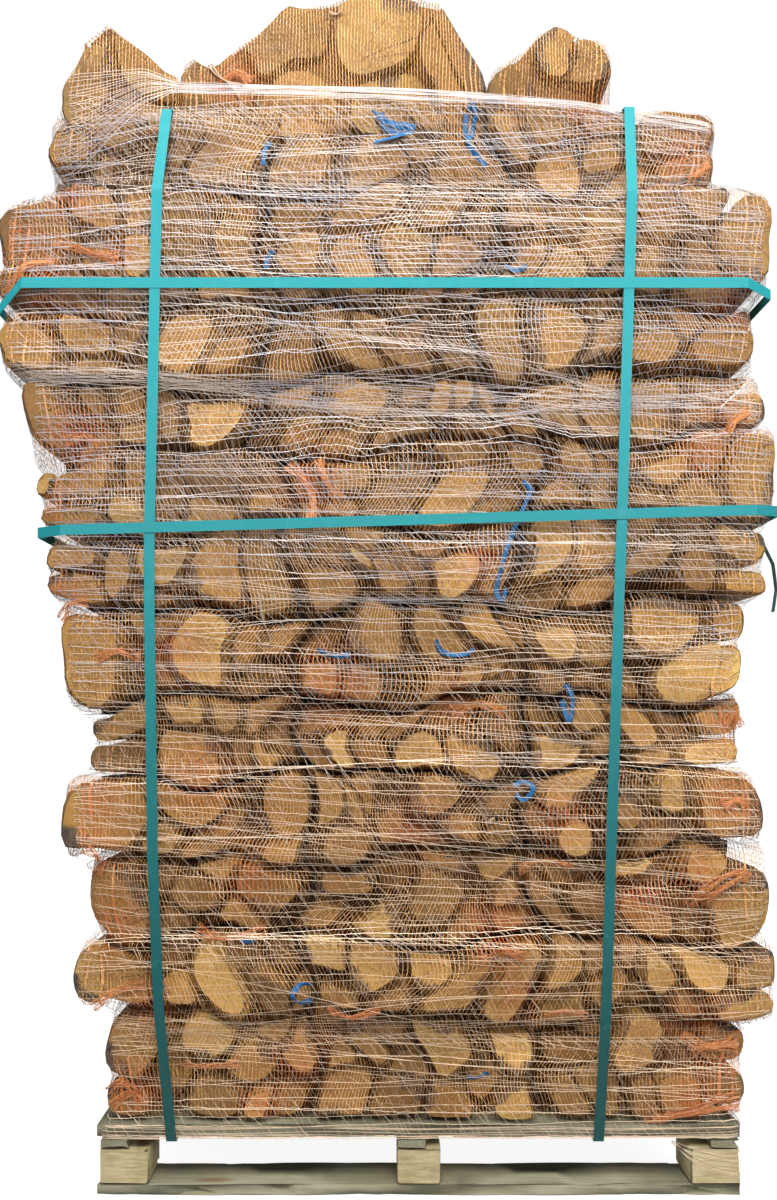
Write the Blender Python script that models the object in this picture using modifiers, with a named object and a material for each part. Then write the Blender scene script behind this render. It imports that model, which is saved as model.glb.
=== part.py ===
"""A palletised bundle of firewood: net sacks of split logs, strapped and net-wrapped on a pallet.

Metres, +Z up. The origin is at the middle of the pallet's underside, and -Y is the front.
"""

import math
import random

import bmesh
import bpy
from mathutils import Vector

# Pallet
GAP = 0.0004
PALLET_WIDTH = 1.000
PALLET_DEPTH = 1.200
BOTTOM_BOARD_TOP = 0.019
BLOCK_TOP = 0.0748
STRINGER_TOP = 0.0896
DECK_TOP = 0.112
BOARD_WIDE = 0.100
DECK_BOARDS = 7
DECK_BOARD_WIDE = 0.118
STRINGER_WIDE = 0.050
OUTER_BLOCK_WIDE = 0.079
MIDDLE_BLOCK_WIDE = 0.070
LEFT_BLOCK_INSET = 0.003

# Stack of sacks: each layer's top at the left and right edge of the pallet, bottom layer first
LAYER_TOPS_LEFT = (0.290, 0.401, 0.516, 0.647, 0.770, 0.906, 1.029, 1.147, 1.258, 1.373, 1.558, 1.693)
LAYER_TOPS_RIGHT = (0.263, 0.393, 0.540, 0.663, 0.775, 0.924, 1.058, 1.183, 1.275, 1.392, 1.555, 1.698)
LEFT_REACH = (0.495, 0.543, 0.522, 0.557, 0.525, 0.563, 0.580, 0.600, 0.625, 0.657, 0.660, 0.590)
RIGHT_REACH = (0.517, 0.566, 0.553, 0.537, 0.513, 0.508, 0.540, 0.566, 0.545, 0.526, 0.554, 0.473)
FRONT_REACH = (0.604, 0.626, 0.612, 0.630, 0.608, 0.624, 0.634, 0.626, 0.614, 0.630, 0.632, 0.604)
SACKS_ACROSS = 3
SPLIT_DRIFT = 0.030

# One sack
LOG_END_RAISE = 0.016
LOG_END_GROOVE = 0.0045
LOG_BACK_RAISE = 0.012
LOG_BACK_GROOVE = 0.014
PILLOW_RAISE = 0.026
PILLOW_EDGE = 0.026
FLANK_RAISE = 0.006
FLANK_GROOVE = 0.006
SIDE_SWELL = PILLOW_RAISE + FLANK_RAISE
SHOULDER = 0.036
OUTER_CORNER = 0.026
FACE_DROP = 0.014
FRONT_DRIFT = 0.010
LOG_ROW_CHOICES = ((3, 3), (2, 4), (3, 4), (4, 3), (3, 2))
TOP_LOG_BACKS = 4
ROW_TILT = 0.10
ROW_SHIFT = 0.10
LOG_SHIFT = 0.14
LOG_LEAN = 0.45
BACK_SHIFT = 0.15
GROOVE_SPREAD = (0.8, 1.9)
RAISE_SPREAD = (0.35, 1.0)
CREST_CURVE = 1.6

# Straps and netting
STRAP_WIDE = 0.016
STRAP_THICK = 0.0008
UPRIGHT_CLEAR = 0.0022
LEVEL_CLEAR = 0.0036
BAND_CLEAR = 0.0005
BAND_THICK = 0.0012
BAND_WIDE = 0.014
HEM_WIDE = 0.018
HEM_HEIGHT = 1.664
NOTCH_SINK = 0.018
UPPER_STRAP_LEVEL = 10
UPPER_STRAP_HEIGHT = 1.404
LOWER_STRAP_LEVEL = 7
GATHERED_LEVEL = 9
TAIL_DEPTH = -0.470
TAIL_LINE = ((0.0, 0.0, 0.0), (0.0, 0.0, -0.014), (0.022, 0.003, -0.036), (0.040, 0.006, -0.070),
             (0.044, 0.002, -0.112), (0.036, -0.006, -0.150))
LEFT_STRAP_LINE = ((0.09, -0.383), (0.31, -0.399), (0.65, -0.411), (1.40, -0.411), (1.70, -0.388))
RIGHT_STRAP_LINE = ((0.09, 0.278), (0.46, 0.290), (0.77, 0.297), (1.40, 0.321), (1.70, 0.325))

COLLECTION_NAME = "firewood_bundle"


def clear_scene():
    """Remove whatever the scene holds."""
    for obj in list(bpy.data.objects):
        bpy.data.objects.remove(obj, do_unlink=True)


def make_collection(name):
    """Add a collection to the scene."""
    collection = bpy.data.collections.new(name)
    bpy.context.scene.collection.children.link(collection)
    return collection


def make_material(name, colour, roughness, metallic=0.0):
    """Make a Principled material of one colour."""
    material = bpy.data.materials.new(name)
    material.use_nodes = True
    shader = material.node_tree.nodes["Principled BSDF"]
    shader.inputs["Base Color"].default_value = (*colour, 1.0)
    shader.inputs["Roughness"].default_value = roughness
    shader.inputs["Metallic"].default_value = metallic
    material.diffuse_color = (*colour, 1.0)
    return material


def add_object(name, bm, collection, material):
    """Turn a bmesh into a named object with its material."""
    mesh = bpy.data.meshes.new(name)
    bm.to_mesh(mesh)
    bm.free()
    mesh.materials.append(material)
    obj = bpy.data.objects.new(name, mesh)
    collection.objects.link(obj)
    return obj


def box_mesh(low, high):
    """A box between two corners."""
    bm = bmesh.new()
    bmesh.ops.create_cube(bm, size=1.0)
    low = Vector(low)
    high = Vector(high)
    bmesh.ops.scale(bm, vec=high - low, verts=bm.verts)
    bmesh.ops.translate(bm, vec=(low + high) / 2, verts=bm.verts)
    return bm


def between(points, value):
    """Read a line of (place, value) points at one place."""
    if value <= points[0][0]:
        return points[0][1]
    for (low, at_low), (high, at_high) in zip(points, points[1:]):
        if value <= high:
            return at_low + (at_high - at_low) * (value - low) / (high - low)
    return points[-1][1]


# Pallet


def build_pallet(collection, pine, block_wood):
    """Deck boards across, stringers front to back, nine blocks, and three bottom boards across."""
    half_wide = PALLET_WIDTH / 2
    half_deep = PALLET_DEPTH / 2
    pitch = (PALLET_DEPTH - DECK_BOARD_WIDE) / (DECK_BOARDS - 1)
    for number in range(DECK_BOARDS):
        near = -half_deep + number * pitch
        far = near + DECK_BOARD_WIDE
        board = box_mesh((-half_wide, near, STRINGER_TOP + GAP), (half_wide, far, DECK_TOP))
        add_object(f"pallet_deck_board_{number + 1}", board, collection, pine)
    left_block = -half_wide + LEFT_BLOCK_INSET
    block_spans = {
        "left": (left_block, left_block + OUTER_BLOCK_WIDE),
        "middle": (-MIDDLE_BLOCK_WIDE / 2, MIDDLE_BLOCK_WIDE / 2),
        "right": (half_wide - OUTER_BLOCK_WIDE, half_wide),
    }
    rows = {
        "front": (-half_deep, -half_deep + BOARD_WIDE),
        "centre": (-BOARD_WIDE / 2, BOARD_WIDE / 2),
        "back": (half_deep - BOARD_WIDE, half_deep),
    }
    for across, (left, right) in block_spans.items():
        start = right - STRINGER_WIDE if across == "right" else left
        end = start + STRINGER_WIDE
        stringer = box_mesh((start, -half_deep, BLOCK_TOP + GAP), (end, half_deep, STRINGER_TOP))
        add_object(f"pallet_stringer_{across}", stringer, collection, pine)
        for along, (near, far) in rows.items():
            block = box_mesh((left, near, BOTTOM_BOARD_TOP + GAP), (right, far, BLOCK_TOP))
            add_object(f"pallet_block_{along}_{across}", block, collection, block_wood)
    for along, (near, far) in rows.items():
        board = box_mesh((-half_wide, near, 0.0), (half_wide, far, BOTTOM_BOARD_TOP))
        add_object(f"pallet_bottom_board_{along}", board, collection, pine)


# Sacks of logs


def layer_edge(level, x):
    """Height of the top of a layer at x, as a straight line that may slope; level 0 is the deck."""
    if level == 0:
        return DECK_TOP
    left = LAYER_TOPS_LEFT[level - 1]
    right = LAYER_TOPS_RIGHT[level - 1]
    return left + (right - left) * (x + PALLET_WIDTH / 2) / PALLET_WIDTH


def faces_facing(bm, direction, tolerance=0.985):
    """The faces whose normal points this way."""
    bm.normal_update()
    return [face for face in bm.faces if face.normal.dot(direction) > tolerance]


def split_faces(bm, faces, point, normal):
    """Cut the given faces with a plane."""
    edges = {edge for face in faces for edge in face.edges}
    verts = {vert for face in faces for vert in face.verts}
    geometry = list(faces) + list(edges) + list(verts)
    bmesh.ops.bisect_plane(bm, geom=geometry, dist=1e-4, plane_co=point, plane_no=normal)


def split_into_log_ends(bm, rng, low, high, log_rows):
    """Split one sack's flat front, between x of low and of high, into a packing of log ends."""
    outward = Vector((0, -1, 0))
    tilt = rng.uniform(-ROW_TILT, ROW_TILT)
    belt = (low + high) / 2
    belt.z += rng.uniform(-ROW_SHIFT, ROW_SHIFT) * (high.z - low.z)
    across = Vector((math.sin(tilt), 0, math.cos(tilt)))

    def sack_faces():
        return [face for face in faces_facing(bm, outward) if low.x < face.calc_center_median().x < high.x]

    split_faces(bm, sack_faces(), belt, across)
    for above, count in zip((False, True), log_rows):
        for number in range(1, count):
            share = (number + rng.uniform(-LOG_SHIFT, LOG_SHIFT)) / count
            lean = rng.uniform(-LOG_LEAN, LOG_LEAN)
            place = Vector((low.x + share * (high.x - low.x), 0, belt.z))
            chosen = [
                face for face in sack_faces()
                if ((face.calc_center_median() - belt).dot(across) > 0) == above
            ]
            split_faces(bm, chosen, place, Vector((math.cos(lean), 0, math.sin(lean))))


def raise_log_ends(bm, rng):
    """Raise each log end out of the sack's front, with a groove left round it."""
    for face in faces_facing(bm, Vector((0, -1, 0))):
        groove = LOG_END_GROOVE * rng.uniform(*GROOVE_SPREAD)
        raise_by = LOG_END_RAISE * rng.uniform(*RAISE_SPREAD)
        bmesh.ops.inset_individual(bm, faces=[face], thickness=groove, depth=raise_by)


def raise_log_backs(bm, rng, direction, run, cuts, groove, raise_by):
    """Split a flat side into the backs of logs that lie front to back, and raise them."""
    (side,) = faces_facing(bm, direction)
    places = [vert.co.dot(run) for vert in side.verts]
    first = min(places)
    span = max(places) - first
    for number in range(1, cuts):
        share = (number + rng.uniform(-BACK_SHIFT, BACK_SHIFT)) / cuts
        split_faces(bm, faces_facing(bm, direction), run * (first + share * span), run)
    bmesh.ops.inset_individual(bm, faces=faces_facing(bm, direction), thickness=groove, depth=raise_by)


def swell_side(bm, rng, direction):
    """Swell an end of the row into a pillow, with the flanks of two logs showing on it."""
    ends = faces_facing(bm, direction)
    bmesh.ops.inset_individual(bm, faces=ends, thickness=PILLOW_EDGE, depth=PILLOW_RAISE)
    raise_log_backs(bm, rng, direction, Vector((0, 0, 1)), 2, FLANK_GROOVE, FLANK_RAISE)


def sack_mesh(rng, low, high, sack_edges, log_rows, open_sides, top_cuts=0):
    """Sacks side by side: a box whose front is raised into sack fronts, and those into log ends."""
    bm = box_mesh(low, high)
    for place in sack_edges[1:-1]:
        split_faces(bm, faces_facing(bm, Vector((0, -1, 0))), Vector((place, 0, 0)), Vector((1, 0, 0)))
    if open_sides:
        swell_side(bm, rng, Vector((-1, 0, 0)))
        swell_side(bm, rng, Vector((1, 0, 0)))
    if top_cuts:
        raise_log_backs(
            bm, rng, Vector((0, 0, 1)), Vector((1, 0, 0)), top_cuts, LOG_BACK_GROOVE, LOG_BACK_RAISE
        )
    fronts = faces_facing(bm, Vector((0, -1, 0)))
    bmesh.ops.inset_individual(bm, faces=fronts, thickness=FACE_DROP, depth=SHOULDER)
    fronts = sorted(faces_facing(bm, Vector((0, -1, 0))), key=lambda face: face.calc_center_median().x)
    extra = OUTER_CORNER - FACE_DROP
    spans = []
    for number, face in enumerate(fronts):
        draw_back = rng.uniform(0.0, FRONT_DRIFT)
        middle = face.calc_center_median().x
        for vert in face.verts:
            vert.co.y += draw_back
            if number == 0 and vert.co.x < middle:
                vert.co.x += extra
            if number == len(fronts) - 1 and vert.co.x > middle:
                vert.co.x -= extra
        corners = [vert.co.copy() for vert in face.verts]
        spans.append((
            Vector((min(corner.x for corner in corners), 0, min(corner.z for corner in corners))),
            Vector((max(corner.x for corner in corners), 0, max(corner.z for corner in corners))),
        ))
    for (span_low, span_high), rows in zip(spans, log_rows):
        split_into_log_ends(bm, rng, span_low, span_high, rows)
    raise_log_ends(bm, rng)
    return bm


def fit_to_layer(bm, layer, floor, ceiling):
    """Move each point so that the flat bottom and top follow the layer's sloping edges."""
    for vert in bm.verts:
        share = (vert.co.z - floor) / (ceiling - floor)
        bottom = layer_edge(layer, vert.co.x) + GAP
        top = layer_edge(layer + 1, vert.co.x) - GAP
        vert.co.z = bottom + share * (top - bottom)


def turn_to_back(bm):
    """Mirror a mesh from the front half to the back half."""
    bmesh.ops.scale(bm, vec=(1, -1, 1), verts=bm.verts)
    bmesh.ops.reverse_faces(bm, faces=bm.faces)


def build_sack_row(layer, facing_front, collection, material):
    """Three sacks pressed together across one layer, on the front or the back half of the pallet."""
    rng = random.Random(100 * layer + (1 if facing_front else 2))
    left = -LEFT_REACH[layer] + SIDE_SWELL
    right = RIGHT_REACH[layer] - SIDE_SWELL
    edges = [left]
    for number in range(1, SACKS_ACROSS):
        edges.append(left + (right - left) * number / SACKS_ACROSS + rng.uniform(-SPLIT_DRIFT, SPLIT_DRIFT))
    edges.append(right)
    top_layer = layer == len(LAYER_TOPS_LEFT) - 1
    floor = layer_edge(layer, 0.0)
    ceiling = layer_edge(layer + 1, 0.0)
    box_front = -(FRONT_REACH[layer] - LOG_END_RAISE - SHOULDER)
    log_rows = [rng.choice(LOG_ROW_CHOICES) for _ in range(SACKS_ACROSS)]
    bm = sack_mesh(
        rng, (left, box_front, floor), (right, -GAP / 2, ceiling - (LOG_BACK_RAISE if top_layer else 0.0)),
        edges, log_rows, True, top_cuts=TOP_LOG_BACKS if top_layer else 0,
    )
    fit_to_layer(bm, layer, floor, ceiling)
    if not facing_front:
        turn_to_back(bm)
    side = "front" if facing_front else "back"
    return add_object(f"sack_row_{side}_{layer + 1:02d}", bm, collection, material)


# The loose sacks on top: name, low corner, high corner, share of the width kept at the crest, crest shift,
# log ends in the lower and upper row of its front, and log backs along its top
TOP_SACKS = (
    ("top_sack_left_corner", (-0.572, -0.590, 1.702), (-0.405, -0.150, 1.832), 0.42, -0.010, (2, 1), 2),
    ("top_sack_centre", (-0.372, -0.585, 1.702), (0.100, -0.110, 1.888), 0.58, 0.010, (3, 3), 4),
    ("top_sack_right", (0.108, -0.580, 1.702), (0.303, -0.120, 1.842), 0.50, 0.000, (2, 2), 2),
    ("top_sack_back_left", (-0.368, 0.100, 1.702), (-0.040, 0.580, 1.835), 0.66, 0.000, (3, 2), 3),
    ("top_sack_back_right", (-0.020, 0.110, 1.702), (0.300, 0.575, 1.822), 0.70, 0.000, (2, 3), 3),
)


def build_top_sack(spec, collection, material):
    """A loose sack lying on the stack, narrower at its crest, with log backs along its top."""
    name, low, high, keep, shift, log_rows, log_backs = spec
    rng = random.Random(len(name) * 7 + 3)
    behind = low[1] > 0
    near, far = (-high[1], -low[1]) if behind else (low[1], high[1])
    bm = sack_mesh(
        rng, (low[0], near + LOG_END_RAISE + SHOULDER, low[2]), (high[0], far, high[2] - LOG_BACK_RAISE),
        (low[0], high[0]), (log_rows,), False, top_cuts=log_backs,
    )
    middle = (low[0] + high[0]) / 2
    for vert in bm.verts:
        share = max(0.0, (vert.co.z - low[2]) / (high[2] - low[2]))
        narrowing = 1.0 - (1.0 - keep) * share ** CREST_CURVE
        vert.co.x = middle + (vert.co.x - middle) * narrowing + shift * share
    if behind:
        turn_to_back(bm)
    return add_object(name, bm, collection, material)


# Straps and netting


def convex_hull(points):
    """Corners of the convex hull of flat points, anticlockwise."""
    points = sorted(set(points))

    def half(ordered):
        chain = []
        for point in ordered:
            while len(chain) > 1:
                (x0, y0), (x1, y1) = chain[-2], chain[-1]
                if (x1 - x0) * (point[1] - y0) - (y1 - y0) * (point[0] - x0) > 0:
                    break
                chain.pop()
            chain.append(point)
        return chain[:-1]

    return half(points) + half(reversed(points))


def band_object(name, path, width_axes, width, thickness, collection, material, closed=True):
    """A flat band along a path: an open strip, given its thickness outwards by Solidify."""
    bm = bmesh.new()
    lower = []
    upper = []
    for point, axis in zip(path, width_axes):
        lower.append(bm.verts.new(point - axis * width / 2))
        upper.append(bm.verts.new(point + axis * width / 2))
    count = len(path)
    for number in range(count if closed else count - 1):
        following = (number + 1) % count
        bm.faces.new((lower[number], lower[following], upper[following], upper[number]))
    band = add_object(name, bm, collection, material)
    shell = band.modifiers.new("thickness", "SOLIDIFY")
    shell.thickness = thickness
    shell.offset = 1.0
    shell.use_even_offset = True
    return band


def build_upright_strap(name, line, collection, material):
    """A strap round the stack from front to back, and under the deck boards."""
    clear = UPRIGHT_CLEAR
    half_deep = PALLET_DEPTH / 2 + clear
    under_deck = STRINGER_TOP + GAP - clear
    section = [(side * half_deep, height) for side in (-1, 1) for height in (under_deck, DECK_TOP)]
    for layer, reach in enumerate(FRONT_REACH):
        x = between(line, layer_edge(layer, 0.0))
        low = layer_edge(layer, x) + FACE_DROP
        high = layer_edge(layer + 1, x) - FACE_DROP + clear
        for side in (-1, 1):
            section.append((side * (reach + clear), low))
            section.append((side * (reach + clear), high))
    top = layer_edge(len(FRONT_REACH), line[-1][1]) + clear
    for side in (-1, 1):
        section.append((side * (FRONT_REACH[-1] - SHOULDER - LOG_END_RAISE), top))
    hull = convex_hull(section)
    path = [Vector((between(line, height), deep, height)) for deep, height in hull]
    axes = [Vector((1, 0, 0))] * len(path)
    return band_object(name, path, axes, STRAP_WIDE, STRAP_THICK, collection, material)


def build_notch_ring(name, level, front_height, size, collection, material):
    """A band round the stack that lies in the notch between two layers at the sides.

    It runs straight over the furthest log ends in front and behind, at front_height(x). Its size
    is (clearance, width, thickness).
    """
    clear, width, thickness = size
    below = level - 1
    left = -max(LEFT_REACH[below], LEFT_REACH[level]) + NOTCH_SINK - clear
    right = max(RIGHT_REACH[below], RIGHT_REACH[level]) - NOTCH_SINK + clear
    deep = max(FRONT_REACH[below], FRONT_REACH[level]) + clear
    turn = deep - NOTCH_SINK - clear
    run = SIDE_SWELL + OUTER_CORNER - NOTCH_SINK
    corners = (
        (left + run, -deep, True), (right - run, -deep, True), (right, -turn, False), (right, turn, False),
        (right - run, deep, True), (left + run, deep, True), (left, turn, False), (left, -turn, False),
    )
    path = [
        Vector((x, y, front_height(x) if over_ends else layer_edge(level, x)))
        for x, y, over_ends in corners
    ]
    axes = [Vector((0, 0, 1))] * len(path)
    return band_object(name, path, axes, width, thickness, collection, material)


def build_plain_ring(name, height, reach, corner, size, collection, material):
    """A level band round a plain outline, whose reach is (left, right, front and back)."""
    clear, width, thickness = size
    left = -reach[0] - clear
    right = reach[1] + clear
    deep = reach[2] + clear
    flat = (
        (left + corner, -deep), (right - corner, -deep), (right, -deep + corner), (right, deep - corner),
        (right - corner, deep), (left + corner, deep), (left, deep - corner), (left, -deep + corner),
    )
    path = [Vector((x, y, height)) for x, y in dict.fromkeys(flat)]
    axes = [Vector((0, 0, 1))] * len(path)
    return band_object(name, path, axes, width, thickness, collection, material)


def build_strap_tail(collection, material):
    """The loose end of the lower level strap, hanging at the right side of the stack."""
    side = RIGHT_REACH[LOWER_STRAP_LEVEL] - NOTCH_SINK + LEVEL_CLEAR + STRAP_THICK + GAP
    start = Vector((side, TAIL_DEPTH, layer_edge(LOWER_STRAP_LEVEL, side) + STRAP_WIDE / 2))
    path = [start + Vector(offset) for offset in TAIL_LINE]
    axes = [Vector((0, 1, 0))] * len(path)
    return band_object("strap_tail", path, axes, STRAP_WIDE, STRAP_THICK, collection, material, closed=False)


def main():
    """Build the pallet, the sacks, the straps and the netting's gathered bands."""
    clear_scene()
    collection = make_collection(COLLECTION_NAME)
    pine = make_material("pallet_pine", (0.62, 0.60, 0.38), 0.75)
    block_wood = make_material("block_wood", (0.55, 0.42, 0.22), 0.8)
    netted_logs = make_material("netted_logs", (0.55, 0.33, 0.13), 0.8)
    strap = make_material("strap", (0.02, 0.34, 0.32), 0.35)
    netting = make_material("wrap_netting", (0.80, 0.76, 0.72), 0.5)

    build_pallet(collection, pine, block_wood)
    for layer in range(len(LAYER_TOPS_LEFT)):
        build_sack_row(layer, True, collection, netted_logs)
        build_sack_row(layer, False, collection, netted_logs)
    for spec in TOP_SACKS:
        build_top_sack(spec, collection, netted_logs)

    build_upright_strap("strap_upright_left", LEFT_STRAP_LINE, collection, strap)
    build_upright_strap("strap_upright_right", RIGHT_STRAP_LINE, collection, strap)
    level_size = (LEVEL_CLEAR, STRAP_WIDE, STRAP_THICK)
    build_notch_ring(
        "strap_level_upper", UPPER_STRAP_LEVEL, lambda x: UPPER_STRAP_HEIGHT, level_size, collection, strap
    )
    build_notch_ring(
        "strap_level_lower", LOWER_STRAP_LEVEL, lambda x: layer_edge(LOWER_STRAP_LEVEL, x), level_size,
        collection, strap,
    )
    build_strap_tail(collection, strap)
    band_size = (BAND_CLEAR, BAND_WIDE, BAND_THICK)
    build_notch_ring(
        "netting_gathered_band", GATHERED_LEVEL, lambda x: layer_edge(GATHERED_LEVEL, x), band_size,
        collection, netting,
    )
    hem_size = (BAND_CLEAR, HEM_WIDE, BAND_THICK)
    top_reach = (LEFT_REACH[-1], RIGHT_REACH[-1], FRONT_REACH[-1])
    hem_corner = SIDE_SWELL + OUTER_CORNER
    build_plain_ring("netting_top_hem", HEM_HEIGHT, top_reach, hem_corner, hem_size, collection, netting)
    deck_reach = (PALLET_WIDTH / 2, PALLET_WIDTH / 2, PALLET_DEPTH / 2)
    deck_middle = (STRINGER_TOP + DECK_TOP) / 2
    build_plain_ring("netting_foot_band", deck_middle, deck_reach, 0.0, band_size, collection, netting)


main()
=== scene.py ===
"""The looks of the firewood bundle: net sacks of split logs, netted and strapped on a pallet.

Metres, +Z up. -Y is the front, and the origin is at the middle of the pallet's underside.
"""

import enum
import logging
import math
import random
from dataclasses import dataclass, field
from typing import Any, Callable, Optional, Sequence, Union

import bpy
import numpy as np
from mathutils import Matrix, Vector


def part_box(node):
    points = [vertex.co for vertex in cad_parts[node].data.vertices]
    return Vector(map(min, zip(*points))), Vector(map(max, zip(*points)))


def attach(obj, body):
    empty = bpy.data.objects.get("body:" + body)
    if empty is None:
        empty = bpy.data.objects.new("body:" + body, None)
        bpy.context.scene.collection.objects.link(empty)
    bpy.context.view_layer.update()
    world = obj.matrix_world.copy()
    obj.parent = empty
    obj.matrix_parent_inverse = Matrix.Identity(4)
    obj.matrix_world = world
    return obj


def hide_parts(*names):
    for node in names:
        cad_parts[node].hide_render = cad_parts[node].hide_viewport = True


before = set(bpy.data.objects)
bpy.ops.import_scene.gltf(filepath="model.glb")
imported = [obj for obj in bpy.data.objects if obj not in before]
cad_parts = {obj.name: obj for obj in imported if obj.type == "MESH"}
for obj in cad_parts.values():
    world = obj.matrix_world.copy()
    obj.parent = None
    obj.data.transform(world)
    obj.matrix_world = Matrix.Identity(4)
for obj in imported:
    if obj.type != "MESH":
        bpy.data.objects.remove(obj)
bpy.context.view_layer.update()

LOG = logging.getLogger("firewood_bundle")
Array = np.ndarray
Colour = tuple[float, float, float]
BAKE_MAP = "OFBake"


# Shader graphs


class Signal:
    """A shader socket on which arithmetic adds Math nodes."""

    def __init__(self, graph: "Graph", socket: bpy.types.NodeSocket) -> None:
        """Keep the graph and the socket."""
        self.graph = graph
        self.socket = socket

    def __add__(self, other: "Value") -> "Signal":
        """Sum."""
        return self.graph.math("ADD", self, other)

    def __sub__(self, other: "Value") -> "Signal":
        """Difference."""
        return self.graph.math("SUBTRACT", self, other)

    def __rsub__(self, other: "Value") -> "Signal":
        """Difference, with the signal on the right."""
        return self.graph.math("SUBTRACT", other, self)

    def __mul__(self, other: "Value") -> "Signal":
        """Product."""
        return self.graph.math("MULTIPLY", self, other)

    __radd__ = __add__
    __rmul__ = __mul__


Value = Union[Signal, float, Sequence[float]]


class Graph:
    """A material's nodes, added one call at a time."""

    def __init__(self, name: str) -> None:
        """Start a material with its Principled shader."""
        self.material = bpy.data.materials.new(name)
        self.material.use_nodes = True
        self.nodes = self.material.node_tree.nodes
        self.links = self.material.node_tree.links
        self.shader = self.nodes["Principled BSDF"]

    def node(
        self,
        kind: str,
        settings: Optional[dict[str, Any]] = None,
        inputs: Optional[dict[Union[str, int], Value]] = None,
        output: Union[str, int] = 0,
    ) -> Signal:
        """Add any node.

        Args:
            kind: the node's type name.
            settings: its properties, set first; "stops" fills a colour ramp.
            inputs: values or links of its sockets.
            output: the socket that is read.

        Returns:
            The output as a signal.
        """
        made = self.nodes.new(kind)
        for key, value in (settings or {}).items():
            if key == "stops":
                self._fill_ramp(made.color_ramp, value)
            else:
                setattr(made, key, value)
        for key, value in (inputs or {}).items():
            self._feed(made.inputs[key], value)
        return Signal(self, made.outputs[output])

    def _fill_ramp(self, ramp: bpy.types.ColorRamp, stops: Sequence[tuple[float, Colour]]) -> None:
        """Give a colour ramp its stops."""
        while len(ramp.elements) < len(stops):
            ramp.elements.new(0.5)
        for element, (place, colour) in zip(ramp.elements, stops):
            element.position = place
            element.color = (*colour, 1.0)

    def _feed(self, socket: bpy.types.NodeSocket, value: Value) -> None:
        """Link a signal to a socket, or set its value."""
        if isinstance(value, Signal):
            self.links.new(value.socket, socket)
        elif isinstance(value, (int, float)):
            socket.default_value = value
        else:
            wanted = len(socket.default_value)
            socket.default_value = (*value, 1.0)[:wanted]

    def math(self, operation: str, first: Value, second: Value = 0.0) -> Signal:
        """Add a Math node."""
        return self.node("ShaderNodeMath", {"operation": operation}, {0: first, 1: second})

    def place(self) -> Signal:
        """Object coordinates."""
        return self.node("ShaderNodeTexCoord", output="Object")

    def attribute(self, name: str, output: str = "Fac") -> Signal:
        """Read a mesh attribute."""
        return self.node("ShaderNodeAttribute", {"attribute_name": name}, output=output)

    def stretch(self, vector: Value, scale: Colour) -> Signal:
        """Scale a vector by parts."""
        return self.node("ShaderNodeVectorMath", {"operation": "MULTIPLY"}, {0: vector, 1: scale})

    def parts(self, vector: Value) -> tuple[Signal, ...]:
        """The three parts of a vector."""
        made = self.node("ShaderNodeSeparateXYZ", None, {0: vector}).socket.node
        return tuple(Signal(self, socket) for socket in made.outputs)

    def noise(self, vector: Value, scale: float, detail: float = 2.0, rough: float = 0.5) -> Signal:
        """Noise from 0 to 1 on a vector."""
        inputs = {"Vector": vector, "Scale": scale, "Detail": detail, "Roughness": rough}
        return self.node("ShaderNodeTexNoise", None, inputs)

    def band(self, value: Value, low: float, high: float) -> Signal:
        """Map low to 0 and high to 1, smoothly and clamped."""
        settings = {"interpolation_type": "SMOOTHSTEP"}
        return self.node("ShaderNodeMapRange", settings, {"Value": value, 1: low, 2: high})

    def ramp(self, value: Value, stops: Sequence[tuple[float, Colour]]) -> Signal:
        """Colours along a value."""
        return self.node("ShaderNodeValToRGB", {"stops": stops}, {0: value})

    def mix(self, factor: Value, first: Value, second: Value, blend: str = "MIX") -> Signal:
        """Mix two colours."""
        settings = {"data_type": "RGBA", "blend_type": blend}
        return self.node("ShaderNodeMix", settings, {0: factor, 6: first, 7: second}, output=2)

    def bump(self, height: Value, distance: float, strength: float = 1.0) -> None:
        """Feed the shader's normal from a height."""
        inputs = {"Height": height, "Distance": distance, "Strength": strength}
        self.dress(Normal=self.node("ShaderNodeBump", None, inputs))

    def dress(self, **sockets: Value) -> None:
        """Feed the shader's sockets, named with underscores for spaces."""
        for name, value in sockets.items():
            self._feed(self.shader.inputs[name.replace("_", " ")], value)


# Finishes


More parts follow.
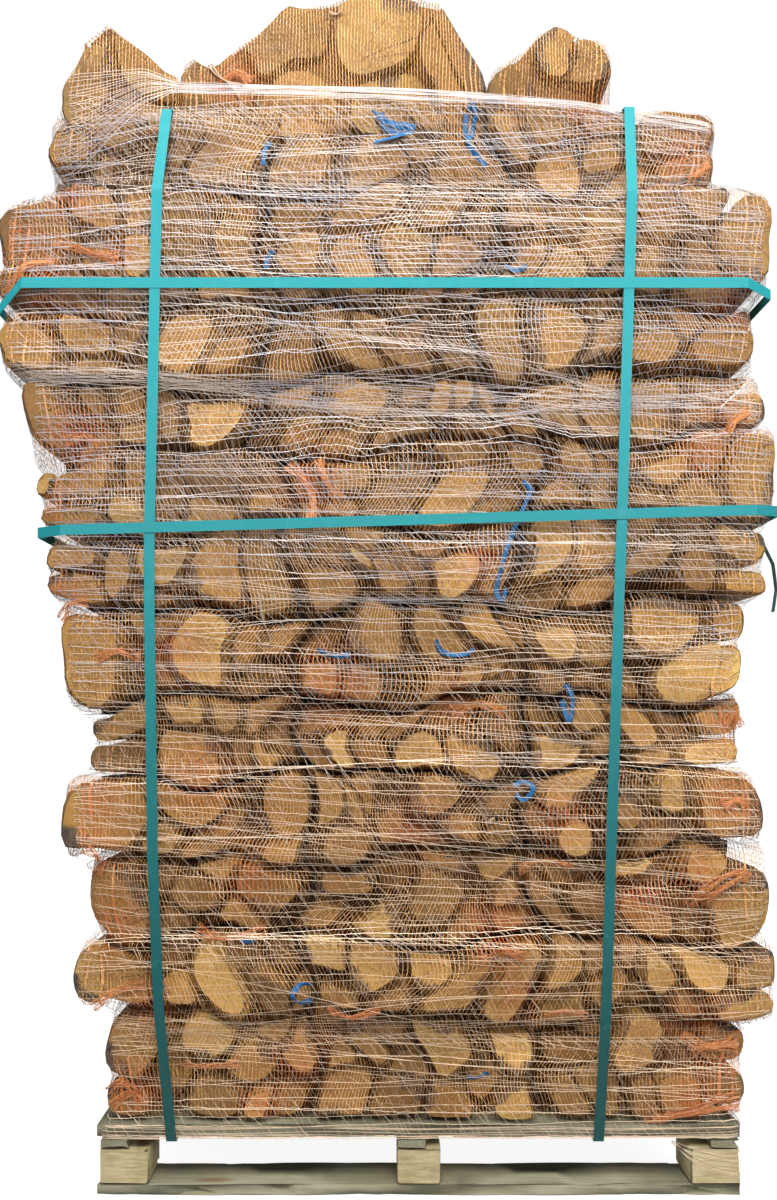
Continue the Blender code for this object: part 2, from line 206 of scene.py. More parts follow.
@dataclass(frozen=True)
class SplitWood:
    """Split logs: pale cut ends with rings and cracks, fibrous flanks, and dark bark."""

    name: str = "split_wood"
    ring_width: float = 0.0030
    olive: tuple[tuple[float, Colour], ...] = (
        (0.00, (0.010, 0.006, 0.003)),
        (0.18, (0.060, 0.034, 0.012)),
        (0.50, (0.190, 0.112, 0.032)),
        (0.80, (0.345, 0.214, 0.057)),
        (1.00, (0.640, 0.430, 0.140)),
    )
    golden: tuple[tuple[float, Colour], ...] = (
        (0.00, (0.010, 0.006, 0.003)),
        (0.18, (0.080, 0.032, 0.008)),
        (0.50, (0.270, 0.120, 0.024)),
        (0.80, (0.470, 0.236, 0.044)),
        (1.00, (0.730, 0.465, 0.125)),
    )
    bark_dark: Colour = (0.030, 0.019, 0.013)
    bark_light: Colour = (0.130, 0.085, 0.052)
    # painted light and shade: the tone rises towards the foot, and falls at the top, the top left and the low
    # right
    foot_light: float = 0.07
    top_shade: float = 0.05
    top_left_shade: float = 0.13
    low_right_shade: float = 0.16

    def build(self) -> bpy.types.Material:
        """Make the material: rings follow the distance from the pith, kept as an attribute.

        Painted light and shade: the tone rises towards the foot. It falls at the top, more so at the
        left, and at the low right.

        Returns:
            The material.
        """
        graph = Graph(self.name)
        place = graph.place()
        heart = graph.attribute("heart", "Vector")
        tone = graph.attribute("tone")
        bark = graph.attribute("bark")
        cut = graph.attribute("cut")
        hue = graph.attribute("hue")
        blotch = graph.noise(place, 42.0, 4.0, 0.65)
        fine = graph.noise(place, 240.0, 3.0, 0.7)
        radius = graph.node("ShaderNodeVectorMath", {"operation": "LENGTH"}, {0: heart}, output="Value")
        turns = (radius + blotch * 0.006) * (2 * math.pi / self.ring_width)
        rings = graph.math("SINE", turns) * 0.5 + 0.5
        aim = graph.node("ShaderNodeVectorMath", {"operation": "NORMALIZE"}, {0: heart})
        crack = graph.band(graph.noise(graph.stretch(aim, (9.0, 9.0, 9.0)), 1.0, 3.0, 0.7), 0.60, 0.70)
        crack = crack * graph.band(radius, 0.004, 0.016)
        shade = tone + (blotch - 0.5) * 0.50 + (fine - 0.5) * 0.40
        across, _, height = graph.parts(place)
        # painted light: the tone rises towards the foot
        shade = shade + graph.band(height, 1.3, 0.1) * self.foot_light
        # painted shade: darker over the top rows, more so at the left, and at the low right
        upper = graph.band(height, 1.34, 1.50)
        shade = shade - upper * self.top_shade
        shade = shade - upper * graph.band(across, -0.10, -0.42) * self.top_left_shade
        low_right = graph.band(height, 0.27, 0.16) * graph.band(across, 0.10, 0.35)
        shade = shade - low_right * self.low_right_shade
        # golden hue: random per log, plus painted warm light rising towards the foot
        gold = hue * 0.8 + graph.band(height, 1.2, 0.3) * 0.2
        wood = graph.mix(gold, graph.ramp(shade, self.olive), graph.ramp(shade, self.golden))
        ends = graph.mix(rings * 0.30, wood, (0.16, 0.085, 0.030))
        ends = graph.mix(graph.band(radius, 0.05, 0.0) * 0.30, ends, (0.24, 0.11, 0.035))
        ends = graph.mix(crack * 0.70, ends, (0.05, 0.025, 0.012))
        fibre = graph.noise(graph.stretch(place, (160.0, 7.0, 160.0)), 1.0, 4.0, 0.65)
        flank = graph.mix(graph.band(fibre, 0.25, 0.70) * 0.85, wood, (0.17, 0.080, 0.026))
        furrow = graph.noise(graph.stretch(place, (60.0, 14.0, 60.0)), 1.0, 5.0, 0.7)
        skin = graph.mix(graph.band(furrow, 0.35, 0.70), self.bark_dark, self.bark_light)
        colour = graph.mix(cut, flank, ends)
        colour = graph.mix(graph.band(bark + (furrow - 0.5) * 0.3, 0.35, 0.60), colour, skin)
        # painted shade: a tone near 0, given to the sacks' inside box, turns near black
        colour = graph.mix(graph.band(tone, 0.0, 0.10), (0.012, 0.008, 0.006), colour)
        graph.dress(Base_Color=colour, Roughness=0.72 + fine * 0.22)
        relief = fibre * (1 - cut) + crack * -0.8 * cut + (fine + blotch) * 0.6 + furrow * bark
        graph.bump(relief, 0.0024, 0.9)
        return graph.material


@dataclass(frozen=True)
class NetTape:
    """Orange knitted tape of the sacks, browner where dust lies on it and vivid where it is bunched."""

    name: str = "net_tape"
    dusty: Colour = (0.260, 0.105, 0.026)
    bright: Colour = (0.860, 0.440, 0.140)
    vivid: Colour = (0.560, 0.150, 0.035)
    patch_scale: float = 9.0

    def build(self) -> bpy.types.Material:
        """Make the material: patches of dust-brown and bright tape, vivid where the attribute says."""
        graph = Graph(self.name)
        place = graph.place()
        patch = graph.noise(place, self.patch_scale, 3.0, 0.6)
        speck = graph.noise(place, 240.0, 2.0, 0.6)
        amount = graph.band(patch + (speck - 0.5) * 0.9, 0.32, 0.66)
        colour = graph.mix(amount, self.dusty, self.bright)
        colour = graph.mix(graph.attribute("vivid"), colour, self.vivid)
        graph.dress(Base_Color=colour, Roughness=0.34 + speck * 0.25)
        return graph.material


@dataclass(frozen=True)
class WrapThread:
    """Pale threads of the netting that is wound round the stack, some of them dull."""

    name: str = "wrap_thread"
    cool: Colour = (0.450, 0.460, 0.520)
    warm: Colour = (0.800, 0.690, 0.600)
    # painted warm light: the warm tan that the threads turn lower down
    dusty: Colour = (0.960, 0.740, 0.510)
    dull: Colour = (0.380, 0.240, 0.135)

    def build(self) -> bpy.types.Material:
        """Make the material: cream thread with cooler stretches, turning warm tan lower down as painted warm
        light.
        """
        graph = Graph(self.name)
        place = graph.place()
        patch = graph.noise(place, 5.0, 3.0, 0.6)
        glint = graph.noise(place, 160.0, 1.0, 0.5)
        height = graph.parts(place)[2]
        # painted warm light: the threads turn warm tan towards the foot
        low = graph.band(height + (patch - 0.5) * 0.5, 1.15, 0.35)
        colour = graph.mix(graph.band(patch, 0.35, 0.65), self.warm, self.cool)
        colour = graph.mix(graph.attribute("vivid"), self.dull, graph.mix(low, colour, self.dusty))
        graph.dress(Base_Color=colour, Roughness=0.26 + glint * 0.22)
        graph.shader.inputs["Specular IOR Level"].default_value = 0.6
        return graph.material


@dataclass(frozen=True)
class StrapPlastic:
    """Embossed polyester strap, bright above and in the stack's shade below."""

    name: str = "strap_plastic"
    # the colours at the foot, in the stack's painted shade, and above, in painted light
    low: Colour = (0.001, 0.060, 0.058)
    high: Colour = (0.008, 0.300, 0.330)
    pitch: float = 0.0022

    def build(self) -> bpy.types.Material:
        """Make the material: a fine lattice embossed by two crossed sine waves."""
        graph = Graph(self.name)
        place = graph.place()
        x, y, height = graph.parts(place)
        across = x + y
        turn = 2 * math.pi / self.pitch
        lattice = graph.math("SINE", (across + height) * turn) * graph.math("SINE", (across - height) * turn)
        scuff = graph.noise(place, 40.0, 4.0, 0.7)
        # painted light and shade: dark teal at the foot, bright teal above
        colour = graph.mix(graph.band(height, 0.05, 1.45), self.low, self.high)
        colour = graph.mix(graph.band(scuff, 0.55, 0.80) * 0.25, colour, (0.12, 0.40, 0.40))
        graph.dress(Base_Color=colour, Roughness=0.26 + scuff * 0.22)
        graph.shader.inputs["Specular IOR Level"].default_value = 0.25
        graph.bump(lattice, 0.00025, 0.5)
        return graph.material


@dataclass(frozen=True)
class CordFibre:
    """Blue drawstring of flat woven tape."""

    name: str = "cord_fibre"
    deep: Colour = (0.004, 0.075, 0.210)
    pale: Colour = (0.016, 0.200, 0.460)

    def build(self) -> bpy.types.Material:
        """Make the material: slanting strands from the lay attribute."""
        graph = Graph(self.name)
        lay = graph.attribute("lay")
        strand = graph.math("SINE", lay * (2 * math.pi / 0.004)) * 0.5 + 0.5
        fray = graph.noise(graph.place(), 300.0, 2.0, 0.6)
        blue = graph.mix(strand * 0.6 + fray * 0.3, self.deep, self.pale)
        graph.dress(Base_Color=blue, Roughness=0.6 + fray * 0.2)
        graph.bump(strand, 0.0004, 0.8)
        return graph.material


@dataclass(frozen=True)
class PalletWood:
    """Sawn softwood with grain along each board, knots, saw marks and stains."""

    name: str
    pale: Colour
    deep: Colour
    stain: Colour
    grain_across: float = 260.0
    deck_from: float = 0.088
    deck_dark: Colour = (0.050, 0.046, 0.030)

    def build(self) -> bpy.types.Material:
        """Make the material: grain runs along the first part of the grain attribute."""
        graph = Graph(self.name)
        grain = graph.attribute("grain", "Vector")
        place = graph.place()
        drift = graph.noise(graph.stretch(grain, (3.0, 16.0, 16.0)), 1.0, 2.0, 0.5)
        line = graph.noise(graph.stretch(grain, (6.0, self.grain_across, 260.0)), 1.0, 4.0, 0.6)
        knot = graph.node(
            "ShaderNodeTexVoronoi", None, {"Vector": graph.stretch(grain, (4.5, 13.0, 13.0)), "Scale": 1.0}
        )
        eye = 1 - graph.band(knot, 0.06, 0.20)
        saw = graph.noise(graph.stretch(grain, (420.0, 9.0, 9.0)), 1.0, 2.0, 0.5)
        dirt = graph.noise(place, 6.5, 5.0, 0.7)
        colour = graph.mix(graph.band(line * 0.6 + drift * 0.4, 0.36, 0.66), self.pale, self.deep)
        colour = graph.mix(eye * 0.75, colour, (0.150, 0.080, 0.030))
        colour = graph.mix(graph.band(dirt, 0.52, 0.78) * 0.8, colour, self.stain)
        # painted shade: the deck boards under the stack are darkened and greyed
        height = graph.parts(place)[2]
        deck = graph.band(height, self.deck_from, self.deck_from + 0.008)
        colour = graph.mix(deck * 0.28, colour, self.deck_dark)
        graph.dress(Base_Color=colour, Roughness=0.62 + line * 0.25)
        graph.bump(line * 0.6 + saw * 0.5, 0.0010, 0.6)
        return graph.material


@dataclass(frozen=True)
class Floor:
    """Pale matt studio floor."""

    name: str = "studio_floor"
    glow: float = 0.90

    def build(self) -> bpy.types.Material:
        """Make the material."""
        graph = Graph(self.name)
        mottle = graph.noise(graph.place(), 1.2, 2.0, 0.5)
        graph.dress(Base_Color=graph.mix(mottle, (0.40, 0.40, 0.40), (0.44, 0.44, 0.44)))
        graph.shader.inputs["Roughness"].default_value = 0.9
        graph.shader.inputs["Emission Color"].default_value = (1.0, 1.0, 1.0, 1.0)
        graph.shader.inputs["Emission Strength"].default_value = self.glow
        return graph.material


class Palette:
    """The finishes, each made once."""

    def __init__(self) -> None:
        """Build every finish."""
        self.wood = SplitWood().build()
        self.net = NetTape().build()
        self.thread = WrapThread().build()
        self.strap = StrapPlastic().build()
        self.cord = CordFibre().build()
        self.pine = PalletWood(
            "pallet_pine", (0.300, 0.282, 0.184), (0.188, 0.173, 0.097), (0.090, 0.078, 0.044)
        ).build()
        self.block = PalletWood(
            "pallet_block", (0.600, 0.505, 0.280), (0.400, 0.310, 0.150), (0.170, 0.125, 0.065), 34.0
        ).build()
        self.floor = Floor().build()


# Meshes from arrays


class Slot(enum.Enum):
    """The record's material slots."""

    PINE = "pallet_pine"
    BLOCK = "block_wood"
    LOGS = "netted_logs"
    NET = "sack_net"
    DRAWSTRING = "drawstring"
    WRAP = "wrap_netting"


@dataclass
class MeshParts:
    """Points, faces and attributes of one piece, gathered from several grids."""

    points: list[Array] = field(default_factory=list)
    faces: list[Array] = field(default_factory=list)
    flat: list[Array] = field(default_factory=list)
    values: dict[str, list[Array]] = field(default_factory=dict)
    count: int = 0

    def add(self, points: Array, faces: Sequence[Array], flat: Sequence[bool] = (), **values: Array) -> None:
        """Add points with faces that number them from 0.

        Args:
            points: (n, 3) places.
            faces: one array of rows of corner numbers for each face size.
            flat: whether each of those arrays is flat shaded.
            values: an attribute value, or vector, per point.
        """
        for number, rows in enumerate(faces):
            self.faces.append(rows + self.count)
            shaded_flat = bool(flat[number]) if number < len(flat) else False
            self.flat.append(np.full(len(rows), shaded_flat))
        for name, value in values.items():
            self.values.setdefault(name, []).append(value)
        self.points.append(points)
        self.count += len(points)

    def build(self, name: str, material: bpy.types.Material, slot: Slot) -> bpy.types.Object:
        """Make the object, which rides on the one body.

        Args:
            name: the piece's name.
            material: its finish.
            slot: not used.

        Returns:
            The object, in the scene.
        """
        points = np.concatenate(self.points)
        corners = np.concatenate([rows.ravel() for rows in self.faces])
        sizes = np.concatenate([np.full(len(rows), rows.shape[1]) for rows in self.faces])
        mesh = bpy.data.meshes.new(name)
        mesh.vertices.add(len(points))
        mesh.vertices.foreach_set("co", points.astype(np.float32).ravel())
        mesh.loops.add(len(corners))
        mesh.polygons.add(len(sizes))
        mesh.polygons.foreach_set("loop_start", running_total(sizes)[:-1].astype(np.int32))
        mesh.polygons.foreach_set("vertices", corners.astype(np.int32))
        mesh.update(calc_edges=True)
        mesh.polygons.foreach_set("use_smooth", ~np.concatenate(self.flat))
        self._store_values(mesh, corners)
        mesh.materials.append(material)
        piece = bpy.data.objects.new(name, mesh)
        bpy.context.scene.collection.objects.link(piece)
        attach(piece, "root")
        LOG.info("%s: %d points, %d faces", name, len(points), len(sizes))
        return piece

    def _store_values(self, mesh: bpy.types.Mesh, corners: Array) -> None:
        """Put the attributes on the mesh; "map" becomes its UV map."""
        for key, parts in self.values.items():
            value = np.concatenate(parts).astype(np.float32)
            if key == "map":
                layer = mesh.uv_layers.new(name=BAKE_MAP)
                layer.uv.foreach_set("vector", value[corners].ravel())
            elif value.ndim == 2:
                mesh.attributes.new(key, "FLOAT_VECTOR", "POINT").data.foreach_set("vector", value.ravel())
            else:
                mesh.attributes.new(key, "FLOAT", "POINT").data.foreach_set("value", value)


def grid_faces(rows: int, columns: int, wrap: bool = False) -> Array:
    """Corner numbers of the faces of a grid.

    Args:
        rows: points in the first direction.
        columns: points in the second direction.
        wrap: whether the second direction closes on itself.

    Returns:
        (faces, 4) corner numbers, turning from the first direction to the second.
    """
    number = np.arange(rows * columns).reshape(rows, columns)
    if wrap:
        number = np.concatenate([number, number[:, :1]], axis=1)
    quads = np.stack([number[:-1, :-1], number[1:, :-1], number[1:, 1:], number[:-1, 1:]], axis=-1)
    return quads.reshape(-1, 4)


def fan_faces(centre: int, ring: Array) -> Array:
    """Corner numbers of the triangles between a point and a closed ring of points."""
    return np.stack([np.full(len(ring), centre), ring, np.roll(ring, -1)], axis=-1)


def aim_of(angle: Array) -> Array:
    """Unit vectors at angles, with a last axis of 2."""
    return np.stack([np.cos(angle), np.sin(angle)], axis=-1)


def running_total(steps: Array) -> Array:
    """The sum of the steps so far, from 0."""
    return np.concatenate([[0], np.cumsum(steps)])


def path_lengths(points: Array) -> Array:
    """Distance along a path at each of its points."""
    return running_total(np.linalg.norm(np.diff(points, axis=0), axis=1))


def along_path(distance: Array, known: Array, table: Array) -> Array:
    """Rows of a two-column table that is known at some distances, read at others."""
    return np.stack([np.interp(distance, known, table[:, part]) for part in range(2)], axis=-1)


@dataclass
class Ribbons:
    """Flat strips gathered into one piece, each a row of point pairs."""

    strips: list[tuple[Array, bool, Array, int]] = field(default_factory=list)

    def add(
        self, points: Array, flip: bool = False, vivid: Union[Array, float] = 0.0, broken: bool = False
    ) -> None:
        """Add strips as (lines, points, 2 sides, 3) places.

        Args:
            points: the places.
            flip: whether to turn their faces over.
            vivid: how vivid the colour is, for each line and point.
            broken: whether each pair of points is a short strip of its own.
        """
        values = np.broadcast_to(np.asarray(vivid, dtype=float), points.shape[:2])
        self.strips.append((points, flip, np.repeat(values[..., None], 2, axis=-1), 2 if broken else 1))

    def build(self, name: str, material: bpy.types.Material, slot: Slot) -> bpy.types.Object:
        """Make the piece; each strip has its own row in the bake's map."""
        parts = MeshParts()
        total = sum(len(points) for points, *_ in self.strips)
        first = 0
        for points, flip, vivid, step in self.strips:
            lines, length = points.shape[:2]
            number = np.arange(lines * length * 2).reshape(lines, length, 2)
            start, end = number[:, :-1:step], number[:, 1::step]
            quads = np.stack([start[..., 0], start[..., 1], end[..., 1], end[..., 0]], axis=-1).reshape(-1, 4)
            along = np.broadcast_to(np.linspace(0.01, 0.99, length)[None, :, None], number.shape)
            row = (first + np.arange(lines)[:, None, None] + np.array([0.12, 0.88])[None, None, :]) / total
            spots = np.stack([along, np.broadcast_to(row, number.shape)], axis=-1)
            faces = [quads[:, ::-1] if flip else quads]
            parts.add(points.reshape(-1, 3), faces, map=spots.reshape(-1, 2), vivid=vivid.ravel())
            first += lines
        return parts.build(name, material, slot)


# The stack's shape


@dataclass(frozen=True)
class VividPatches:
    """Where the sacks' net is bunched and its orange is vivid: places and radii in the front view."""

    spots: tuple[tuple[float, float, float], ...] = (
        (45, 285, 40), (20, 240, 26), (70, 200, 22), (120, 260, 20), (232, 66, 26), (690, 150, 28),
        (735, 300, 24), (312, 480, 34), (75, 432, 34), (50, 500, 24), (735, 415, 30), (700, 450, 26),
        (60, 600, 26), (170, 655, 34), (330, 690, 40), (455, 700, 28), (735, 720, 30), (90, 850, 34),
        (110, 925, 30), (250, 880, 34), (500, 930, 34), (640, 900, 34), (735, 800, 30), (700, 880, 34),
        (700, 1025, 34), (725, 1070, 34), (700, 1110, 36), (500, 950, 30), (150, 1010, 26),
        (560, 820, 30), (420, 830, 30), (200, 780, 34), (480, 560, 22), (600, 100, 22), (300, 1070, 34),
        (130, 1095, 30), (520, 1000, 26), (90, 800, 30), (260, 1110, 26),
    )
    far_scale: float = 9.0

    def amount(self, points: Array) -> Array:
        """How vivid each place is: the highest bell over the spots, or slow waves on the other sides."""
        across = VIEW.across(points[..., 0])
        down = VIEW.down(points[..., 2])
        best = np.zeros(points.shape[:-1])
        for x, y, radius in self.spots:
            best = np.maximum(best, np.exp(-((across - x) ** 2 + (down - y) ** 2) / radius**2))
        x, y, z = (points[..., part] * self.far_scale for part in range(3))
        waves = np.sin(x + 1.3 * np.sin(z)) * np.sin(1.1 * y + 0.7 * np.sin(1.7 * z))
        waves = waves * np.sin(1.6 * z + 0.5 * x)
        return np.where(points[..., 1] < -0.45, best, np.clip(waves * 1.8 - 0.4, 0, 1))


@dataclass(frozen=True)
class StackShape:
    """Where each layer of sacks lies and how far it reaches."""

    deck_top: float = 0.112
    half_width: float = 0.500
    tops_left: tuple[float, ...] = (
        0.290, 0.401, 0.516, 0.647, 0.770, 0.906, 1.029, 1.147, 1.258, 1.373, 1.558, 1.693,
    )
    tops_right: tuple[float, ...] = (
        0.263, 0.393, 0.540, 0.663, 0.775, 0.924, 1.058, 1.183, 1.275, 1.392, 1.555, 1.698,
    )
    left_reach: tuple[float, ...] = (
        0.495, 0.543, 0.522, 0.557, 0.525, 0.563, 0.580, 0.600, 0.625, 0.657, 0.660, 0.590,
    )
    right_reach: tuple[float, ...] = (
        0.517, 0.566, 0.553, 0.537, 0.513, 0.508, 0.540, 0.566, 0.545, 0.526, 0.554, 0.473,
    )
    front_reach: tuple[float, ...] = (
        0.604, 0.626, 0.612, 0.630, 0.608, 0.624, 0.634, 0.626, 0.614, 0.630, 0.632, 0.604,
    )
    sacks_across: int = 3
    split_drift: float = 0.030
    side_swell: float = 0.032

    @property
    def layers(self) -> int:
        """How many layers there are."""
        return len(self.tops_left)

    def edge(self, level: int, x: Array) -> Array:
        """Height of the top of a layer at x, along a straight line; level 0 is the deck."""
        if level == 0:
            return np.full(np.shape(x), self.deck_top)
        left, right = self.tops_left[level - 1], self.tops_right[level - 1]
        return left + (right - left) * (np.asarray(x) + self.half_width) / (2 * self.half_width)

    def splits(self, layer: int, facing_front: bool) -> list[float]:
        """Where the sacks of a row meet, from the same draws as the solid row's."""
        rng = random.Random(100 * layer + (1 if facing_front else 2))
        left = -self.left_reach[layer] + self.side_swell
        right = self.right_reach[layer] - self.side_swell
        inner = [
            left + (right - left) * number / self.sacks_across
            + rng.uniform(-self.split_drift, self.split_drift)
            for number in range(1, self.sacks_across)
        ]
        return [-self.left_reach[layer], *inner, self.right_reach[layer]]


@dataclass(frozen=True)
class FrontView:
    """Turns a place in the front view into x and z on the stack's front."""

    centre_across: float = 377.0
    centre_down: float = 719.0
    camera_x: float = -0.065
    camera_z: float = 0.741
    per_metre: float = 650.0

    def x(self, across: Array) -> Array:
        """Metres to the right of the origin."""
        return self.camera_x + (np.asarray(across) - self.centre_across) / self.per_metre

    def z(self, down: Array) -> Array:
        """Metres above the floor."""
        return self.camera_z + (self.centre_down - np.asarray(down)) / self.per_metre

    def across(self, x: Array) -> Array:
        """The way back from x."""
        return self.centre_across + (np.asarray(x) - self.camera_x) * self.per_metre

    def down(self, z: Array) -> Array:
        """The way back from z."""
        return self.centre_down - (np.asarray(z) - self.camera_z) * self.per_metre


STACK = StackShape()
VIEW = FrontView()
VIVID = VividPatches()


# Logs


class Outline(enum.Enum):
    """Outlines of the planned logs; a gap takes up room but has no log."""

    ROUND = "round"
    WEDGE = "wedge"
    BLOCK = "block"
    GAP = "gap"

    @property
    def sides(self) -> tuple[int, float, float]:
        """How many sides it has, how far out they lie as a share, and how sharp its corners are."""
        return {"wedge": (3, 0.76, 9.0), "block": (4, 1.10, 9.0)}.get(self.value, (8, 1.16, 8.0))


@dataclass
class Planned:
    """The planned logs of one sack, with one row of each array per log."""

    centre: Array
    half: Array
    turn: Array
    outlines: list[Outline]
    tone: Array
    hue: Array


@dataclass(frozen=True)
class LogPlan:
    """The logs that stand out in front.

    Each row has the place and the half width and half height in the front view, the tone and the
    hue; a wedge has also the turn of its flat side in degrees.
    """

    rows: dict[Outline, tuple[tuple[float, ...], ...]]

    def sack(self, left: float, right: float, layer: int) -> Planned:
        """The logs whose middles lie in one sack of the front.

        Args:
            left: where the sack begins.
            right: where it ends.
            layer: its layer, counted from 0.

        Returns:
            The logs, in the level frame of the sack before it settles.
        """
        outlines = [outline for outline, rows in self.rows.items() for _ in rows]
        table = np.array([(*row, 0.0)[:7] for rows in self.rows.values() for row in rows])
        front = np.full(len(table), -0.6)
        spots = SETTLED.unshift(np.stack([VIEW.x(table[:, 0]), front, VIEW.z(table[:, 1])], axis=-1))
        x, z = spots[:, 0], spots[:, 2]
        lines = np.stack([STACK.edge(level, x) for level in range(STACK.layers + 1)])
        mine = (x > left) & (x < right) & (np.clip((z > lines).sum(axis=0) - 1, 0, STACK.layers - 1) == layer)
        middle = (left + right) / 2
        level = (STACK.edge(layer, middle) + STACK.edge(layer + 1, middle)) / 2
        z = z - (lines[layer] + lines[layer + 1]) / 2 + level
        return Planned(
            centre=np.stack([x, z], axis=-1)[mine], half=table[mine, 2:4] / VIEW.per_metre,
            turn=np.radians(table[mine, 6]), outlines=[outlines[number] for number in np.flatnonzero(mine)],
            tone=table[mine, 4], hue=table[mine, 5],
        )


@dataclass
class LogPack:
    """Split logs lying front to back, with one row of each array per log.

    A log's outline is a rounded polygon, sometimes halved. How close it is at an angle is the
    power mean of how close each side is, (sum over sides of (max(0, n.u) / d) ** p) ** (1 / p),
    then the same with the flat side of the split; the radius is one over that, with a slow wobble.
    """

    centre: Array
    normals: Array
    distances: Array
    power: Array
    split_normal: Array
    split_distance: Array
    wobble: Array
    near: Array
    far: Array
    tilt: Array
    tone: Array
    hue: Array
    torn: Array
    pith: Array
    bark_aim: Array
    bark_half: Array

    def radius(self, angle: Array) -> Array:
        """Radius at angles given as (logs, ...)."""
        extra = (1,) * (angle.ndim - 1)
        aim = aim_of(angle)
        facing = np.einsum("led,l...d->l...e", self.normals, aim)
        close = np.clip(facing, 0.0, None) / self.distances.reshape(-1, *extra, self.distances.shape[1])
        power = self.power.reshape(-1, *extra)
        rounded = (close ** power[..., None]).sum(-1) ** (1.0 / power)
        facing = np.einsum("ld,l...d->l...", self.split_normal, aim)
        split = np.clip(facing, 0.0, None) / self.split_distance.reshape(-1, *extra)
        radius = (rounded**14 + split**14) ** (-1.0 / 14)
        amount = self.wobble[:, 0].reshape(-1, *extra)
        phase = self.wobble[:, 1].reshape(-1, *extra)
        wave = np.sin(3 * angle + phase) + 0.6 * np.sin(5 * angle + 2.3 * phase)
        return radius * (1 + amount * (wave - 0.8))

    def end_tent(self, x: Array, z: Array, slope: float, lift: float) -> Array:
        """How far out the net stands over the log ends.

        The net is the highest of one tent per log: flat over the log's end, and falling by slope
        metres a metre away from its outline.

        Args:
            x: places across.
            z: heights.
            slope: how steeply each tent falls.
            lift: the net's height over the log end.

        Returns:
            Distance to the front of y = 0, for each place.
        """
        extra = (1,) * x.ndim
        offset = np.stack([x, z], axis=-1)[None] - self.centre.reshape(-1, *extra, 2)
        away = np.linalg.norm(offset, axis=-1)
        edge = self.radius(np.arctan2(offset[..., 1], offset[..., 0]))
        share = np.minimum(1.0, edge / np.maximum(away, 1e-9))
        lean = (offset * share[..., None] * self.tilt.reshape(-1, *extra, 2)).sum(-1)
        outer = -self.near.reshape(-1, *extra) + lean
        return (outer - slope * np.maximum(0.0, away - edge)).max(axis=0) + lift

    def _round_flanks(self, y: Array) -> tuple[Array, Array, Array]:
        """x and z of points round each log, and how far the places y lie beyond its ends."""
        extra = (1,) * y.ndim
        reach, height = (part.reshape(*part.shape, *extra) for part in self.outline_points(24))
        near, far = self.near.reshape(-1, 1, *extra), self.far.reshape(-1, 1, *extra)
        return reach, height, np.maximum(0.0, np.maximum(near - y, y - far))

    def flank_tent(self, side: int, y: Array, z: Array, slope: float, lift: float) -> Array:
        """How far a net stands out over the logs' flanks at one side.

        Args:
            side: -1 for the left, 1 for the right.
            y: places front to back.
            z: heights.
            slope: how steeply each tent falls.
            lift: the net's height over the flank.

        Returns:
            Distance from x = 0, for each place.
        """
        reach, height, beyond = self._round_flanks(y)
        tents = side * reach - slope * np.abs(z - height) - slope * beyond
        return tents.max(axis=(0, 1)) + lift

    def crown_tent(self, x: Array, y: Array, slope: float, lift: float) -> Array:
        """How high a net stands over the logs' tops, as flank_tent does for a side."""
        reach, height, beyond = self._round_flanks(y)
        tents = height - slope * np.abs(x - reach) - slope * beyond
        return tents.max(axis=(0, 1)) + lift

    def outline_points(self, points: int) -> tuple[Array, Array]:
        """x and z of points round each log's outline."""
        angle = np.broadcast_to(np.arange(points) * (2 * np.pi / points), (len(self.power), points))
        radius = self.radius(angle)
        return self.centre[:, :1] + radius * np.cos(angle), self.centre[:, 1:] + radius * np.sin(angle)

    def add_to(self, parts: MeshParts, place: Callable[[Array], Array], flip: bool, points: int = 20) -> None:
        """Add the logs' surfaces: rings of the outline along each log, closed by a fan at each end.

        Args:
            parts: where they go.
            place: moves the finished points to where they belong.
            flip: whether that turns the faces over.
            points: points round the outline.
        """
        logs = len(self.power)
        angle = np.broadcast_to(np.arange(points) * (2 * np.pi / points), (logs, points))
        radius = self.radius(angle)
        bevel = 0.0022
        torn = self.torn[:, None] * (0.65 + 0.35 * np.sin(2 * angle + self.wobble[:, 1:]))
        rings = []
        for share, shrink, inset in (
            (0, torn, 0), (0, 0, 1.4 * torn), (0.5, 0.0006, 0), (1, 0, -bevel), (1, bevel, 0)
        ):
            swell = np.maximum(radius - shrink, 0.004)
            x = self.centre[:, :1] + swell * np.cos(angle)
            z = self.centre[:, 1:] + swell * np.sin(angle)
            lean = self.tilt[:, :1] * (x - self.centre[:, :1]) + self.tilt[:, 1:] * (z - self.centre[:, 1:])
            y = (self.near + share * (self.far - self.near))[:, None] + inset - lean * (1 - share)
            rings.append(np.stack([x, y, z], axis=-1))
        rings = np.stack(rings, axis=1)
        middles = np.stack([rings[:, 0].mean(axis=1), rings[:, -1].mean(axis=1)], axis=1)
        spots = np.concatenate([rings.reshape(logs, -1, 3), middles], axis=1)
        stride = spots.shape[1]
        side = grid_faces(5, points, wrap=True)[:, ::-1]
        around = np.arange(points)
        back = fan_faces(stride - 1, 4 * points + around)[:, [0, 2, 1]]
        caps = np.concatenate([fan_faces(stride - 2, around), back])
        shift = (np.arange(logs) * stride)[:, None, None]
        faces = [(side[None] + shift).reshape(-1, 4), (caps[None] + shift).reshape(-1, 3)]
        if flip:
            faces = [rows[:, ::-1] for rows in faces]
        heart = spots[..., [0, 2]] - self.pith[:, None, :]
        heart = np.concatenate([heart, np.zeros_like(heart[..., :1])], axis=-1)
        gap = np.abs((angle - self.bark_aim[:, None] + np.pi) % (2 * np.pi) - np.pi)
        rind = np.clip((self.bark_half[:, None] - gap) / 0.25 + 0.5, 0.0, 1.0)
        rind = np.repeat(rind[:, None], 5, axis=1)
        rind[:, [0, 4]] *= 0.75
        rind = np.concatenate([rind.reshape(logs, -1), np.zeros((logs, 2))], axis=1)
